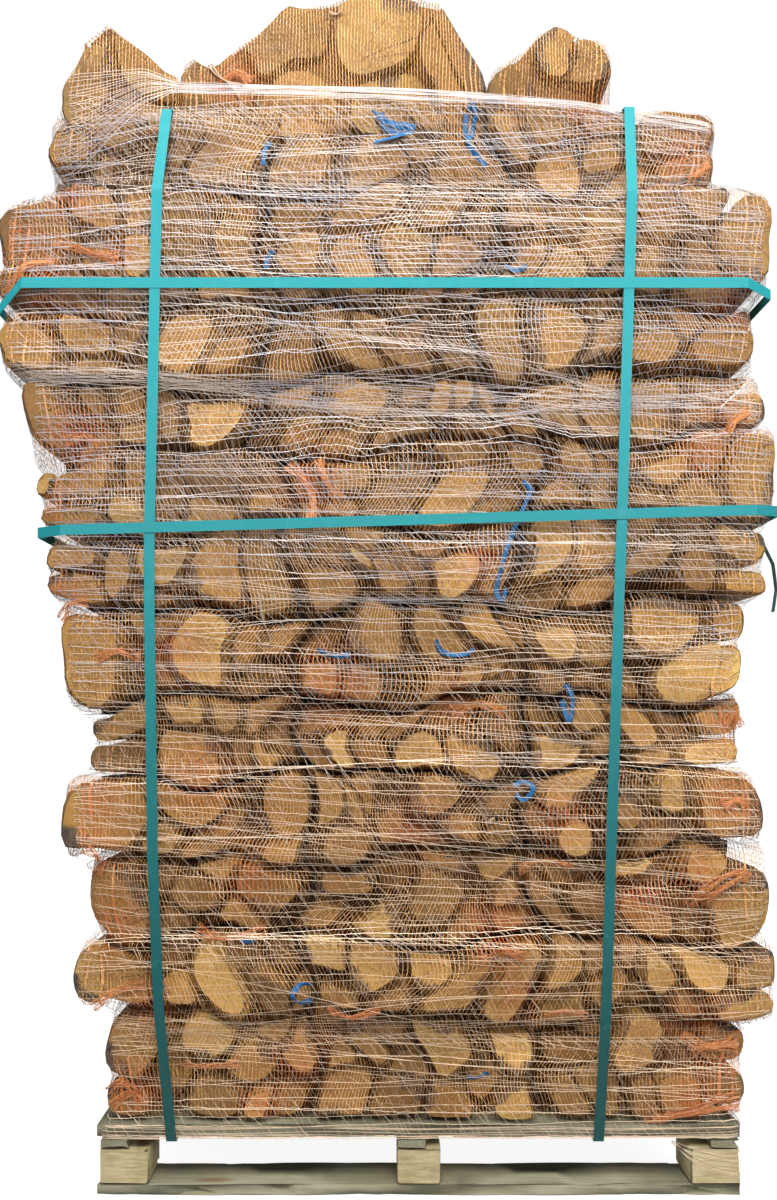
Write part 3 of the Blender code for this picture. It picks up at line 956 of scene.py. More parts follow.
        cut = np.zeros((logs, 5, points))
        cut[:, [0, 4]] = 1.0
        cut = np.concatenate([cut.reshape(logs, -1), np.ones((logs, 2))], axis=1)
        parts.add(
            place(spots.reshape(-1, 3)), faces, (False, True), heart=heart.reshape(-1, 3),
            tone=np.repeat(self.tone, stride), hue=np.repeat(self.hue, stride),
            bark=rind.ravel(), cut=cut.ravel(),
        )

    def copy_behind(self, rng: np.random.Generator, near: float, far: float, chosen: Array) -> "LogPack":
        """Logs of the same outlines lying behind the chosen ones."""
        count = int(chosen.sum())
        return self.pick(
            chosen, near=near + rng.uniform(0.0, 0.012, count), far=far - rng.uniform(0.0, 0.010, count),
            tone=rng.uniform(0.35, 0.95, count), hue=rng.random(count), torn=np.full(count, 0.003),
            bark_aim=rng.uniform(0, 2 * np.pi, count), tilt=np.zeros((count, 2)),
        )

    def pick(self, chosen: Array, **changed: Array) -> "LogPack":
        """The chosen logs, with some of their values changed."""
        kept = {key: value[chosen] for key, value in self.__dict__.items()}
        return LogPack(**{**kept, **changed})

    def join(self, other: "LogPack") -> "LogPack":
        """These logs and the others together."""
        mine, theirs = self.__dict__, other.__dict__
        return LogPack(**{key: np.concatenate([mine[key], theirs[key]]) for key in mine})


@dataclass(frozen=True)
class LogPacker:
    """Fills a sack's front with the outlines of split logs.

    The front is shared out between seeds by a weighted nearest-seed rule, after each seed has
    moved a few times to the middle of its share. Some of the shares are then halved.
    """

    share_area: tuple[float, float] = (0.0066, 0.0120)
    weight: float = 0.0014
    halved: float = 0.46
    missing: float = 0.14
    gap: float = 0.0042
    length: float = 0.262
    corner_cut: float = 0.012
    fewest_planned: int = 2
    samples: int = 1800
    settle_turns: int = 9
    powers: tuple[float, ...] = (2.8, 3.6, 5.5, 10.0)
    power_shares: tuple[float, ...] = (0.26, 0.30, 0.26, 0.18)
    forward_share: float = 0.68
    recess_forward: tuple[float, float] = (0, 0.014)
    recess_behind: tuple[float, float] = (0.014, 0.050)
    recess_unplanned: float = 0.010
    recess_planned: float = 0.024
    tone_unplanned: float = 0.75
    tilt: float = 0.10
    tilted_share: float = 0.30
    torn: tuple[float, float] = (0.0022, 0.0085)
    dark_share: float = 0.14
    bark_share: float = 0.6
    bark_half: tuple[float, float] = (0.5, 1.3)
    fill_aside: float = 0.060
    fill_up: float = 0.024
    least_side: float = 0.014
    least_wall: float = 0.010
    least_half: float = 0.008
    halved_from: float = 0.030
    half_step: float = 0.42
    seed_border: float = 0.014
    seed_clear: float = 0.019
    seed_spacing: float = 0.060
    seed_size: float = 0.026

    def pack(
        self, rng: np.random.Generator, low: tuple[float, float], high: tuple[float, float],
        front: float, open_sides: tuple[bool, bool], shades: tuple[float, float] = (0.30, 1.0),
        plan: Optional[Planned] = None,
    ) -> LogPack:
        """Pack logs between two corners of the front.

        Args:
            rng: the sack's own random draws.
            low: x and z of the lowest corner.
            high: x and z of the highest corner.
            front: how far the furthest log end reaches to the front.
            open_sides: whether the left and the right side stand free, and so are rounder.
            shades: darkest and lightest tone.
            plan: logs with places of their own, if the sack has them.

        Returns:
            The logs, the planned ones first.
        """
        floor, roof = np.array(low), np.array(high)
        size = roof - floor
        planned = plan is not None and len(plan.outlines) >= self.fewest_planned
        if planned:
            plan.centre = np.clip(plan.centre, floor + 0.6 * plan.half, roof - 0.6 * plan.half)
            self._fill_out(plan, floor, roof, open_sides)
            seeds, weights = self._seeds_between(rng, floor, size, plan)
        else:
            seeds, weights = self._seeds(rng, floor, size)
        normals, distances = self._sides(seeds, weights, floor, roof, open_sides)
        power = rng.choice(self.powers, len(seeds), p=self.power_shares)
        if planned:
            normals, distances, power = self._planned_sides(plan, normals, distances, power)
        count = len(seeds)
        unset = ("near", "far", "tone", "hue", "torn", "bark_aim", "bark_half")
        whole = LogPack(
            centre=seeds, normals=normals, distances=distances, power=power,
            split_normal=np.zeros_like(seeds), split_distance=np.ones(count),
            wobble=np.stack([rng.uniform(0.01, 0.035, count), rng.uniform(0, 6.28, count)], axis=-1),
            tilt=np.zeros((count, 2)), pith=seeds.copy(), **{key: np.zeros(count) for key in unset},
        )
        known = np.zeros(0, dtype=int)
        if planned:
            solid = [outline is not Outline.GAP for outline in plan.outlines]
            known = np.flatnonzero(solid)
            kept = np.concatenate([known, np.arange(len(plan.outlines), len(seeds))])
            whole = whole.pick(kept)
        logs = self._halve(rng, whole, len(known))
        count = len(logs.power)
        forward = rng.random(count) < self.forward_share
        near, far = rng.uniform(*self.recess_forward, count), rng.uniform(*self.recess_behind, count)
        recess = np.where(forward, near, far)
        tone = rng.uniform(*shades, count)
        if len(known):
            tone[:len(known)] = plan.tone[known]
            tone[len(known):] *= self.tone_unplanned
            deep = self.recess_planned * (1 - plan.tone[known])
            recess[:len(known)] = deep * rng.uniform(0.4, 1.0, len(known))
            recess[len(known):] += self.recess_unplanned
        logs.near = -(front - recess)
        logs.far = -front + self.length + rng.uniform(0, 0.02, count)
        tilt = rng.uniform(-self.tilt, self.tilt, (count, 2))
        logs.tilt = tilt * np.where(rng.random((count, 1)) < self.tilted_share, 3.0, 1.0)
        logs.hue = rng.random(count)
        logs.torn = rng.uniform(*self.torn, count)
        dark = (rng.random(count) < self.dark_share) & (np.arange(count) >= len(known))
        logs.tone = np.where(dark, tone * 0.55, tone)
        logs.hue[:len(known)] = plan.hue[known] if len(known) else 0.0
        outward = logs.centre - logs.pith
        logs.bark_aim = np.arctan2(outward[:, 1], outward[:, 0])
        barked = rng.random(count) < self.bark_share
        logs.bark_half = np.where(barked, rng.uniform(*self.bark_half, count), -1.0)
        return logs

    def _seeds(self, rng: np.random.Generator, floor: Array, size: Array) -> tuple[Array, Array]:
        """Seeds in the middle of their shares, and their weights."""
        count = max(3, round(size.prod() / rng.uniform(*self.share_area)))
        samples = floor + rng.random((self.samples, 2)) * size
        seeds = floor + rng.random((count, 2)) * size
        weights = rng.uniform(-self.weight, self.weight, count)
        for _ in range(self.settle_turns):
            apart = ((samples[:, None] - seeds[None]) ** 2).sum(-1) - weights
            mine = apart.argmin(axis=1)[:, None] == np.arange(count)
            total = mine.sum(axis=0)
            middle = (mine[..., None] * samples[:, None]).sum(axis=0) / np.maximum(total, 1)[:, None]
            seeds = np.where(total[:, None] > 0, middle, seeds)
        return seeds, weights

    def _fill_out(self, plan: Planned, floor: Array, roof: Array, open_sides: tuple[bool, bool]) -> None:
        """Stretch planned logs over narrow gaps to the sack's foot, its top and its open sides."""
        reach = [np.array([self.fill_aside * is_open, self.fill_up]) for is_open in open_sides]
        solid = np.array([outline is not Outline.GAP for outline in plan.outlines])[:, None]
        for sign, wall, limit in ((-1, floor, reach[0]), (1, roof, reach[1])):
            gap = sign * (wall - plan.centre) - plan.half
            stretch = np.where((gap > 0) & (gap < limit) & solid, gap, 0.0)
            plan.centre = plan.centre + sign * stretch / 2
            plan.half = plan.half + stretch / 2

    def _seeds_between(
        self, rng: np.random.Generator, floor: Array, size: Array, plan: Planned
    ) -> tuple[Array, Array]:
        """The planned logs' places, then more seeds between them until there is no room, and weights."""
        tries = floor + self.seed_border + rng.random((300, 2)) * (size - 2 * self.seed_border)
        away = (tries[:, None] - plan.centre[None]) / (plan.half[None] + self.seed_clear)
        away = np.linalg.norm(away, axis=-1)
        added: list[Array] = []
        for spot in tries[away.min(axis=1) > 1.0]:
            if all(np.linalg.norm(spot - other) > self.seed_spacing for other in added):
                added.append(spot)
        seeds = np.concatenate([plan.centre, np.array(added).reshape(-1, 2)])
        weights = np.concatenate([plan.half.prod(axis=1), np.full(len(added), self.seed_size**2)])
        return seeds, weights

    def _planned_sides(
        self, plan: Planned, normals: Array, distances: Array, power: Array
    ) -> tuple[Array, Array, Array]:
        """Add the planned logs' own sides, at the reach of an ellipse in each side's direction."""
        aim = np.zeros((len(power), 8))
        reach = np.full((len(power), 8), 9.0)
        for number, outline in enumerate(plan.outlines):
            sides, share, sharp = outline.sides
            turn = plan.turn[number] + np.arange(sides) * (2 * np.pi / sides)
            half = plan.half[number]
            aim[number, :sides] = turn
            reach[number, :sides] = share * np.hypot(half[0] * np.cos(turn), half[1] * np.sin(turn))
            power[number] = sharp
        normals = np.concatenate([normals, aim_of(aim)], axis=1)
        return normals, np.concatenate([distances, reach], axis=1), power

    def _sides(
        self, seeds: Array, weights: Array, floor: Array, roof: Array, open_sides: tuple[bool, bool]
    ) -> tuple[Array, Array]:
        """Side normals and distances of each share: between seeds, at the walls, and across corners.

        The side between two seeds D apart lies at (D * D + own weight - other weight) / (2 * D).
        """
        apart = seeds[None] - seeds[:, None]
        length = np.linalg.norm(apart, axis=-1)
        same = length < 1e-9
        normals = np.where(same[..., None], 0.0, apart / np.where(same, 1.0, length)[..., None])
        between = (length**2 + weights[:, None] - weights[None]) / (2 * np.where(same, 1.0, length))
        distances = np.where(same, 1.0, np.maximum(between, self.least_side))
        walls = [((-1, 0), -floor[0]), ((1, 0), roof[0]), ((0, -1), -floor[1]), ((0, 1), roof[1])]
        slant = math.sqrt(0.5)
        for side, is_open in ((-1, open_sides[0]), (1, open_sides[1])):
            for up in (-1, 1):
                cut = self.corner_cut * ((1.0 if side < 0 else 0.5) if is_open else 0.45)
                edge = side * (roof if side > 0 else floor)[0] + up * (roof if up > 0 else floor)[1]
                walls.append(((side * slant, up * slant), (edge - cut) * slant))
        wall_normals = np.array([normal for normal, _ in walls], dtype=float)
        wall_places = np.array([place for _, place in walls])
        to_wall = wall_places[None] - seeds @ wall_normals.T
        wall_normals = np.broadcast_to(wall_normals, (len(seeds), *wall_normals.shape))
        normals = np.concatenate([normals, wall_normals], axis=1)
        distances = np.concatenate([distances, np.maximum(to_wall, self.least_wall)], axis=1)
        return normals, distances - self.gap / 2

    def _halve(self, rng: np.random.Generator, whole: LogPack, known: int) -> LogPack:
        """Split some logs after the known ones by a plane through the middle, and leave a few halves out."""
        count = len(whole.power)
        mean = whole.radius(np.broadcast_to(np.arange(12) * (np.pi / 6), (count, 12))).mean(axis=1)
        halve = (rng.random(count) < self.halved) & (mean > self.halved_from)
        halve = halve & (np.arange(count) >= known)
        turned = aim_of(rng.uniform(0, 2 * np.pi, count))
        whole.pith = whole.centre + turned * (mean * rng.choice([0.15, 0.8], count))[:, None]
        kept = [whole.pick(~halve)]
        for sign in (-1.0, 1.0):
            part = halve & ((rng.random(count) > self.missing) | (sign > 0))
            half = whole.pick(part)
            normal = turned[part] * sign
            step = mean[part] * self.half_step
            half.pith = half.centre - normal * 0.002
            half.centre = half.centre - normal * step[:, None]
            half.distances = half.distances + np.einsum("led,ld->le", half.normals, normal) * step[:, None]
            half.distances = np.maximum(half.distances, self.least_half)
            half.split_normal = normal
            half.split_distance = step - self.gap / 2
            kept.append(half)
        return kept[0].join(kept[1]).join(kept[2])


# The outside of the sacks


@dataclass
class Skin:
    """The outside of all the sacks, from the places of their nets."""

    low: float = 0.085
    high: float = 1.895
    slice_height: float = 0.010
    directions: int = 180
    rays: int = 240
    cell: float = 0.010
    points: list[Array] = field(default_factory=list)

    def gather(self, ribbons: Ribbons) -> None:
        """Keep one side of every strip."""
        self.points += [points[:, :, 0].reshape(-1, 3) for points, *_ in ribbons.strips]

    def settle(self) -> None:
        """Work out how far a taut net reaches in every slice, and how deep the front lies.

        A slice's support in a direction is the furthest of its points that way, and the taut
        outline's distance along a ray is the least of support / cos(angle between them).
        """
        spots = np.concatenate([*self.points, self._deck_points()])
        rows = int(round((self.high - self.low) / self.slice_height))
        number = np.clip(((spots[:, 2] - self.low) / self.slice_height).astype(int), 0, rows - 1)
        order = np.argsort(number, kind="stable")
        spots, number = spots[order], number[order]
        turn = np.arange(self.directions) * (2 * np.pi / self.directions)
        reach = spots[:, :1] * np.cos(turn) + spots[:, 1:2] * np.sin(turn)
        present, starts = np.unique(number, return_index=True)
        support = np.full((rows, self.directions), 0.02)
        support[present] = np.maximum.reduceat(reach, starts, axis=0)
        padded = np.concatenate([support[:1], support, support[-1:]])
        support = 0.5 * padded[1:-1] + 0.25 * (padded[2:] + padded[:-2])
        ray = np.arange(self.rays) * (2 * np.pi / self.rays)
        facing = np.cos(turn[:, None] - ray[None, :])
        distance = support[:, :, None] / np.where(facing > 0.15, facing, 1e-6)[None]
        self.reach_table = np.where(facing[None] > 0.15, distance, 9.0).min(axis=1)
        self._lay_front(spots[spots[:, 1] < -0.3])

    def _deck_points(self) -> Array:
        """Corners of the deck, at the heights of its boards."""
        first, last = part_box("pallet_deck_board_1"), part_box("pallet_deck_board_7")
        low, high = np.minimum(first[0], last[0]), np.maximum(first[1], last[1])
        sides, ends, heights = (low[0], high[0]), (low[1], high[1]), (0.09, 0.10, 0.111)
        return np.array([(x, y, z) for x in sides for y in ends for z in heights])

    def _lay_front(self, spots: Array) -> None:
        """Keep the foremost place of each small cell of the front, and widen it by one cell."""
        size = (int(1.4 / self.cell), int(2.0 / self.cell))
        column = np.clip(((spots[:, 0] + 0.7) / self.cell).astype(int), 0, size[0] - 1)
        row = np.clip((spots[:, 2] / self.cell).astype(int), 0, size[1] - 1)
        depth = np.full(size, -0.55)
        np.minimum.at(depth, (column, row), spots[:, 1])
        near = np.pad(depth, 1, mode="edge")
        shifts = [near[a:a + size[0], b:b + size[1]] for a in range(3) for b in range(3)]
        self.front_table = np.minimum.reduce(shifts)

    def front(self, x: Array, z: Array) -> Array:
        """The y of the front over places of x and z."""
        size = self.front_table.shape
        column = np.clip(((x + 0.7) / self.cell - 0.5), 0, size[0] - 1.001)
        row = np.clip((z / self.cell - 0.5), 0, size[1] - 1.001)
        return self._between(self.front_table, column, row)

    def reach(self, angle: Array, height: Array) -> Array:
        """How far the taut outline is from the stack's axis at an angle and a height."""
        rows = self.reach_table.shape[0]
        row = np.clip((height - self.low) / self.slice_height - 0.5, 0, rows - 1.001)
        column = (angle % (2 * np.pi)) / (2 * np.pi) * self.rays
        table = np.concatenate([self.reach_table, self.reach_table[:, :2]], axis=1)
        return self._between(table, row, column)

    @staticmethod
    def _between(table: Array, row: Array, column: Array) -> Array:
        """The table's value between its rows and columns."""
        first, second = row.astype(int), column.astype(int)
        down, across = row - first, column - second
        upper = table[first, second] * (1 - across) + table[first, second + 1] * across
        lower = table[first + 1, second] * (1 - across) + table[first + 1, second + 1] * across
        return upper * (1 - down) + lower * down


# Sacks


@dataclass(frozen=True)
class Settling:
    """How the soft stack has settled, level on the deck.

    The line between two layers waves by a sum of three sines of x, and places between two lines
    move by their share of both. The upright joints wave too, and the front draws in here and there.
    """

    lengths: tuple[float, ...] = (0.46, 0.23, 0.115)
    rises: tuple[float, ...] = (0.013, 0.009, 0.004)
    sway: float = 0.020
    side_sway: float = 0.004
    draw: float = 0.008

    def _wave(self, level: Array, x: Array, behind: Array) -> Array:
        """Height of the wave on a level's line; the deck has none and the top half."""
        total = np.zeros(np.shape(x))
        for number, (length, rise) in enumerate(zip(self.lengths, self.rises)):
            phase = 2.4 * level * (number + 1) + 1.7 * behind + 0.9 * number
            total = total + rise * np.sin(2 * np.pi * x / length + phase)
        return total * np.where(level == 0, 0.0, np.where(level == STACK.layers, 0.4, 1.0))

    def shift(self, points: Array) -> Array:
        """Settle the points."""
        x, y, z = points[..., 0], points[..., 1], points[..., 2]
        behind = (y > 0).astype(float)
        lines = np.stack([STACK.edge(level, x) for level in range(STACK.layers + 1)])
        below = np.clip((z[None] >= lines).sum(axis=0) - 1, 0, STACK.layers - 1)
        low = np.take_along_axis(lines, below[None], axis=0)[0]
        high = np.take_along_axis(lines, below[None] + 1, axis=0)[0]
        share = np.clip((z - low) / (high - low), 0, 1)
        up = (1 - share) * self._wave(below, x, behind) + share * self._wave(below + 1, x, behind)
        inner = np.clip(1 - (np.abs(x) / 0.46) ** 3, 0, 1) * np.clip((z - 0.11) / 0.10, 0, 1)
        wave = np.sin(17.0 * z + 9.0 * x + 2.0 * behind) + 0.5 * np.sin(41.0 * z - 7.0 * x)
        aside = (self.sway * inner + self.side_sway) * wave
        fade = np.clip((z - 0.11) / 0.10, 0, 1)
        inward = fade * self.draw * (0.5 + 0.5 * np.sin(9.0 * x + 4.0 * np.sin(6.0 * z) + 2.1 * behind))
        return np.stack([x + aside * fade, y * (1 - inward / 0.6), z + up], axis=-1)

    def unshift(self, points: Array) -> Array:
        """Where the settled points came from, by moving back what they moved three times over."""
        start = points
        for _ in range(3):
            start = start + points - self.shift(start)
        return start


SETTLED = Settling()
PLAN = LogPlan({
    Outline.ROUND: (
        (430, 112, 33, 14, .60, .3), (505, 125, 25, 30, .70, .5), (540, 118, 22, 22, .65, .4),
        (605, 112, 15, 17, .6, .4), (225, 140, 35, 28, .65, .4), (270, 110, 24, 16, .60, .4),
        (115, 120, 30, 24, .75, .7), (66, 140, 26, 16, .75, .7), (690, 160, 26, 20, .55, .9),
        (370, 150, 30, 26, .60, .5), (560, 160, 26, 20, .70, .6), (455, 165, 26, 18, .5, .6),
        (185, 240, 30, 38, .50, .2), (235, 250, 25, 32, .65, .6), (140, 258, 16, 24, 1.0, .7),
        (45, 245, 30, 40, .50, 1.), (30, 285, 22, 18, .45, 1.), (372, 200, 28, 18, .75, 1.),
        (300, 258, 27, 27, .85, .8), (352, 260, 18, 26, .70, .6), (408, 258, 21, 27, .70, .6),
        (452, 258, 23, 20, .55, 1.), (510, 265, 24, 22, .65, .5), (560, 215, 24, 22, .6, .6),
        (565, 266, 22, 20, .70, .5), (600, 250, 18, 26, .60, .4), (660, 215, 20, 25, .50, .9),
        (706, 204, 22, 16, .7, .6), (740, 245, 22, 42, .70, .6), (705, 272, 28, 26, .45, 1.),
        (650, 266, 20, 20, .60, .5), (440, 208, 26, 16, .55, .5), (90, 335, 28, 25, .75, .6),
        (35, 345, 22, 22, .70, .7), (127, 338, 17, 22, .60, .5), (182, 338, 22, 23, .70, .6),
        (225, 354, 20, 13, .60, .5), (497, 338, 18, 25, .60, 0.), (350, 350, 30, 22, .60, .5),
        (400, 350, 22, 20, .5, .4), (560, 342, 24, 24, .75, .6), (605, 337, 20, 22, .60, .5),
        (655, 342, 24, 22, .70, .6), (715, 345, 24, 24, .6, .9), (60, 420, 22, 20, .55, 1.),
        (128, 405, 18, 18, .50, 1.), (212, 420, 27, 25, .90, .9), (282, 392, 23, 14, .6, .6),
        (441, 398, 15, 17, .90, .9), (495, 402, 20, 15, .65, .6), (300, 430, 20, 18, .50, .6),
        (400, 432, 26, 18, .5, .2), (555, 412, 28, 22, .70, .5), (600, 402, 16, 20, .60, .5),
        (655, 415, 26, 20, .65, .5), (742, 410, 18, 20, .8, .8), (700, 412, 18, 20, .60, .8),
        (460, 436, 24, 12, .55, .5), (345, 436, 20, 12, .50, .5), (165, 412, 12, 20, .4, .5),
        (45, 480, 15, 18, .85, .9), (95, 478, 25, 16, .65, .6), (82, 518, 24, 13, .80, .7),
        (128, 514, 20, 12, .9, .4), (208, 472, 38, 22, .22, .1), (212, 514, 27, 14, .70, .5),
        (267, 514, 22, 14, .60, .5), (350, 484, 15, 17, .6, .6), (400, 488, 28, 26, .22, 0.),
        (458, 492, 25, 20, .80, .9), (500, 500, 18, 22, .60, .5), (548, 462, 22, 12, .65, .5),
        (560, 505, 26, 16, .70, .5), (668, 472, 32, 14, .70, .5), (700, 502, 24, 20, .65, .7),
        (748, 475, 22, 24, .8, .8), (650, 502, 22, 14, .55, .5), (85, 592, 30, 18, .70, .9),
        (85, 562, 16, 14, .70, .6), (160, 572, 24, 18, 1., .6), (218, 570, 26, 25, .75, .9),
        (270, 568, 28, 25, .42, .1), (330, 586, 28, 15, .60, .5), (392, 578, 27, 17, .7, .7),
        (362, 560, 10, 12, 1.0, .5), (455, 572, 27, 22, .85, .9), (543, 552, 25, 26, .90, .9),
        (595, 552, 20, 24, .7, .8), (590, 592, 24, 13, .60, .6), (650, 552, 26, 20, .70, .7),
        (735, 542, 22, 24, .80, .8), (738, 585, 14, 18, .8, .9), (700, 565, 18, 22, .60, .9),
        (92, 655, 28, 34, .75, .8), (195, 652, 32, 30, .95, .8), (300, 635, 28, 20, .6, .6),
        (300, 680, 30, 18, .75, 1.), (375, 635, 28, 22, .55, .1), (355, 685, 25, 16, .50, .6),
        (440, 640, 22, 22, .7, .4), (440, 685, 20, 14, .60, .3), (470, 680, 14, 18, .75, .7),
        (500, 630, 25, 20, .80, .7), (595, 650, 18, 24, .7, .5), (665, 628, 40, 20, .80, .7),
        (680, 674, 27, 22, .95, .9), (716, 672, 22, 26, .90, .9), (725, 625, 12, 18, .7, .8),
        (185, 712, 18, 16, .85, .6), (225, 714, 20, 16, .55, .2), (120, 722, 25, 18, .65, .6),
        (115, 758, 28, 18, .3, .1), (240, 755, 12, 18, .30, .2), (262, 757, 12, 18, .75, .9),
        (300, 754, 22, 18, .50, .8), (370, 754, 18, 20, .4, 1.), (420, 758, 30, 22, .85, .8),
        (470, 754, 25, 16, .80, .8), (560, 754, 22, 20, .90, .8), (600, 757, 12, 18, .7, .6),
        (640, 732, 25, 20, .75, .6), (590, 717, 20, 14, .60, .3), (655, 760, 25, 10, .80, .8),
        (700, 754, 22, 13, .9, .9), (715, 724, 22, 16, .85, .9), (120, 815, 32, 30, .60, .9),
        (190, 808, 30, 22, .70, .8), (200, 852, 28, 11, .5, .9), (300, 812, 34, 22, .70, 1.),
        (285, 853, 20, 10, .75, .8), (345, 846, 24, 12, .50, .7), (430, 802, 22, 14, .6, .4),
        (460, 828, 28, 14, .55, .8), (575, 838, 12, 16, .95, .5), (675, 800, 16, 16, .90, .7),
        (725, 805, 28, 34, .6, .6), (630, 812, 16, 14, .60, .5), (520, 815, 18, 18, .40, .6),
        (125, 905, 25, 25, .65, .9), (507, 898, 20, 14, .7, .7), (738, 905, 25, 28, .80, .9),
        (706, 872, 21, 12, .90, .9), (265, 897, 26, 22, .65, .7), (350, 884, 28, 14, .6, .8),
        (440, 900, 36, 20, .42, .1), (540, 900, 24, 22, .35, .8), (650, 912, 26, 18, .60, .9),
        (98, 978, 21, 26, .8, .5), (176, 986, 13, 14, .80, 1.), (216, 980, 23, 20, .95, .8),
        (265, 988, 20, 17, .45, .1), (370, 972, 22, 21, .85, .7), (430, 982, 14, 16, .85, .8),
        (465, 984, 26, 20, .70, .3), (516, 986, 17, 23, .80, .5), (558, 966, 20, 18, .7, .5),
        (707, 972, 27, 26, 1.0, .8), (754, 972, 20, 24, .65, .1), (730, 1010, 27, 14, .85, .6),
        (610, 985, 20, 20, .5, .9), (140, 1055, 17, 32, .60, .9), (204, 1045, 23, 15, .95, .5),
        (215, 1105, 30, 16, .5, .2), (257, 1108, 12, 13, .8, .7), (300, 1057, 16, 20, .80, .6),
        (340, 1062, 14, 14, .75, .6), (370, 1052, 16, 24, .75, .8), (530, 1055, 24, 24, .9, .7),
        (532, 1105, 25, 17, .90, .9), (640, 1055, 24, 20, .80, .6), (725, 1050, 25, 15, .65, .8),
        (682, 1094, 22, 16, .8, .8), (725, 1093, 18, 16, .60, .1), (250, 1067, 22, 22, .65, .8),
        (574, 1105, 16, 20, .65, .5),
    ),
    Outline.WEDGE: (
        (605, 150, 22, 20, .70, .4, 270), (92, 205, 32, 26, .80, .8, 250), (140, 208, 24, 20, .75, 1., 300),
        (103, 258, 20, 22, .80, .7, 270), (565, 792, 24, 26, .90, .7, 90), (378, 928, 22, 15, 1.0, .6, 120),
        (130, 982, 24, 24, .65, .9, 20), (310, 957, 30, 16, 1.0, .6, 270), (658, 982, 20, 22, .85, .6, 60),
        (445, 1052, 28, 30, .85, .7, 60), (535, 214, 20, 18, .60, .4, 80),
    ),
    Outline.BLOCK: (
        (665, 125, 33, 20, .35, .6), (300, 150, 28, 24, .60, .5), (180, 142, 14, 30, .50, .4),
        (500, 216, 24, 18, .55, .4), (350, 396, 40, 14, .80, 1.), (118, 575, 12, 26, .75, .5),
        (240, 650, 18, 30, .50, .8), (560, 646, 18, 24, .95, .5), (190, 754, 35, 16, .70, .6),
        (335, 748, 11, 20, 1.0, .7), (633, 870, 17, 9, 1.0, .5), (440, 852, 38, 10, .6, 1.),
        (190, 897, 28, 18, .50, .5), (330, 1000, 34, 10, .65, .9), (325, 1097, 34, 20, .50, .7),
        (400, 1105, 32, 18, .5, .7), (590, 906, 18, 20, .40, .8), (650, 1102, 14, 18, .50, .8),
        (135, 480, 10, 15, .60, .5), (600, 492, 14, 22, .6, .5),
    ),
    Outline.GAP: (
        (457, 125, 12, 9, 0, 0), (265, 247, 10, 13, 0, 0), (379, 276, 8, 15, 0, 0),
        (238, 322, 14, 13, 0, 0), (450, 332, 28, 15, 0, 0), (267, 430, 14, 18, 0, 0),
        (265, 482, 16, 18, 0, 0), (540, 480, 24, 8, 0, 0), (138, 660, 10, 24, 0, 0),
        (410, 690, 10, 20, 0, 0), (250, 795, 20, 10, 0, 0), (256, 828, 10, 22, 0, 0),
        (385, 797, 18, 10, 0, 0), (600, 802, 9, 14, 0, 0), (650, 806, 9, 16, 0, 0),
        (300, 908, 10, 16, 0, 0), (480, 900, 14, 12, 0, 0), (490, 985, 7, 12, 0, 0),
        (318, 1050, 7, 26, 0, 0), (480, 1045, 12, 18, 0, 0),
    ),
})


def rounded_path(
    corners: Sequence[tuple[float, float]], radii: Sequence[float]
) -> tuple[Array, Array, Array]:
    """A flat path with rounded corners.

    Each corner is replaced by the arc of a circle that touches both of its straight runs.

    Args:
        corners: the path's corners, with its two ends.
        radii: a radius per corner; the two ends have none.

    Returns:
        Points, outward normals (to the right of the path's direction), and distances along it.
    """
    spots = [np.array([corners[0]], dtype=float)]
    for number in range(1, len(corners) - 1):
        before, here, after = (np.array(corners[number + step], dtype=float) for step in (-1, 0, 1))
        back = (before - here) / np.linalg.norm(before - here)
        ahead = (after - here) / np.linalg.norm(after - here)
        radius = max(radii[number], 1e-5)
        share = np.linspace(0, np.pi / 2, 9)[:, None]
        centre = here + (back + ahead) * radius
        spots.append(centre - ahead * radius * np.cos(share) - back * radius * np.sin(share))
    spots.append(np.array([corners[-1]], dtype=float))
    points = np.concatenate(spots)
    length = path_lengths(points)
    even = np.linspace(0, length[-1], max(40, int(length[-1] / 0.002)))
    points = along_path(even, length, points)
    run = np.gradient(points, axis=0)
    run /= np.linalg.norm(run, axis=1)[:, None]
    return points, np.stack([run[:, 1], -run[:, 0]], axis=-1), even


@dataclass(frozen=True)
class NetPitch:
    """How closely a sack's net is knitted and how wide its tape is drawn."""

    front: float = 0.0053
    side: float = 0.0105
    course: float = 0.0078
    tape: float = 0.00092
    weft: float = 0.00050
    turn: float = 0.5
    rise: float = 0.0075
    sway: float = 0.0012
    zigzag: float = 0.55
    bunched_tape: float = 0.9
    bunched_weft: float = 1.2


COARSE_NET = NetPitch(front=0.0120, side=0.0150, course=0.0125, tape=0.0016)


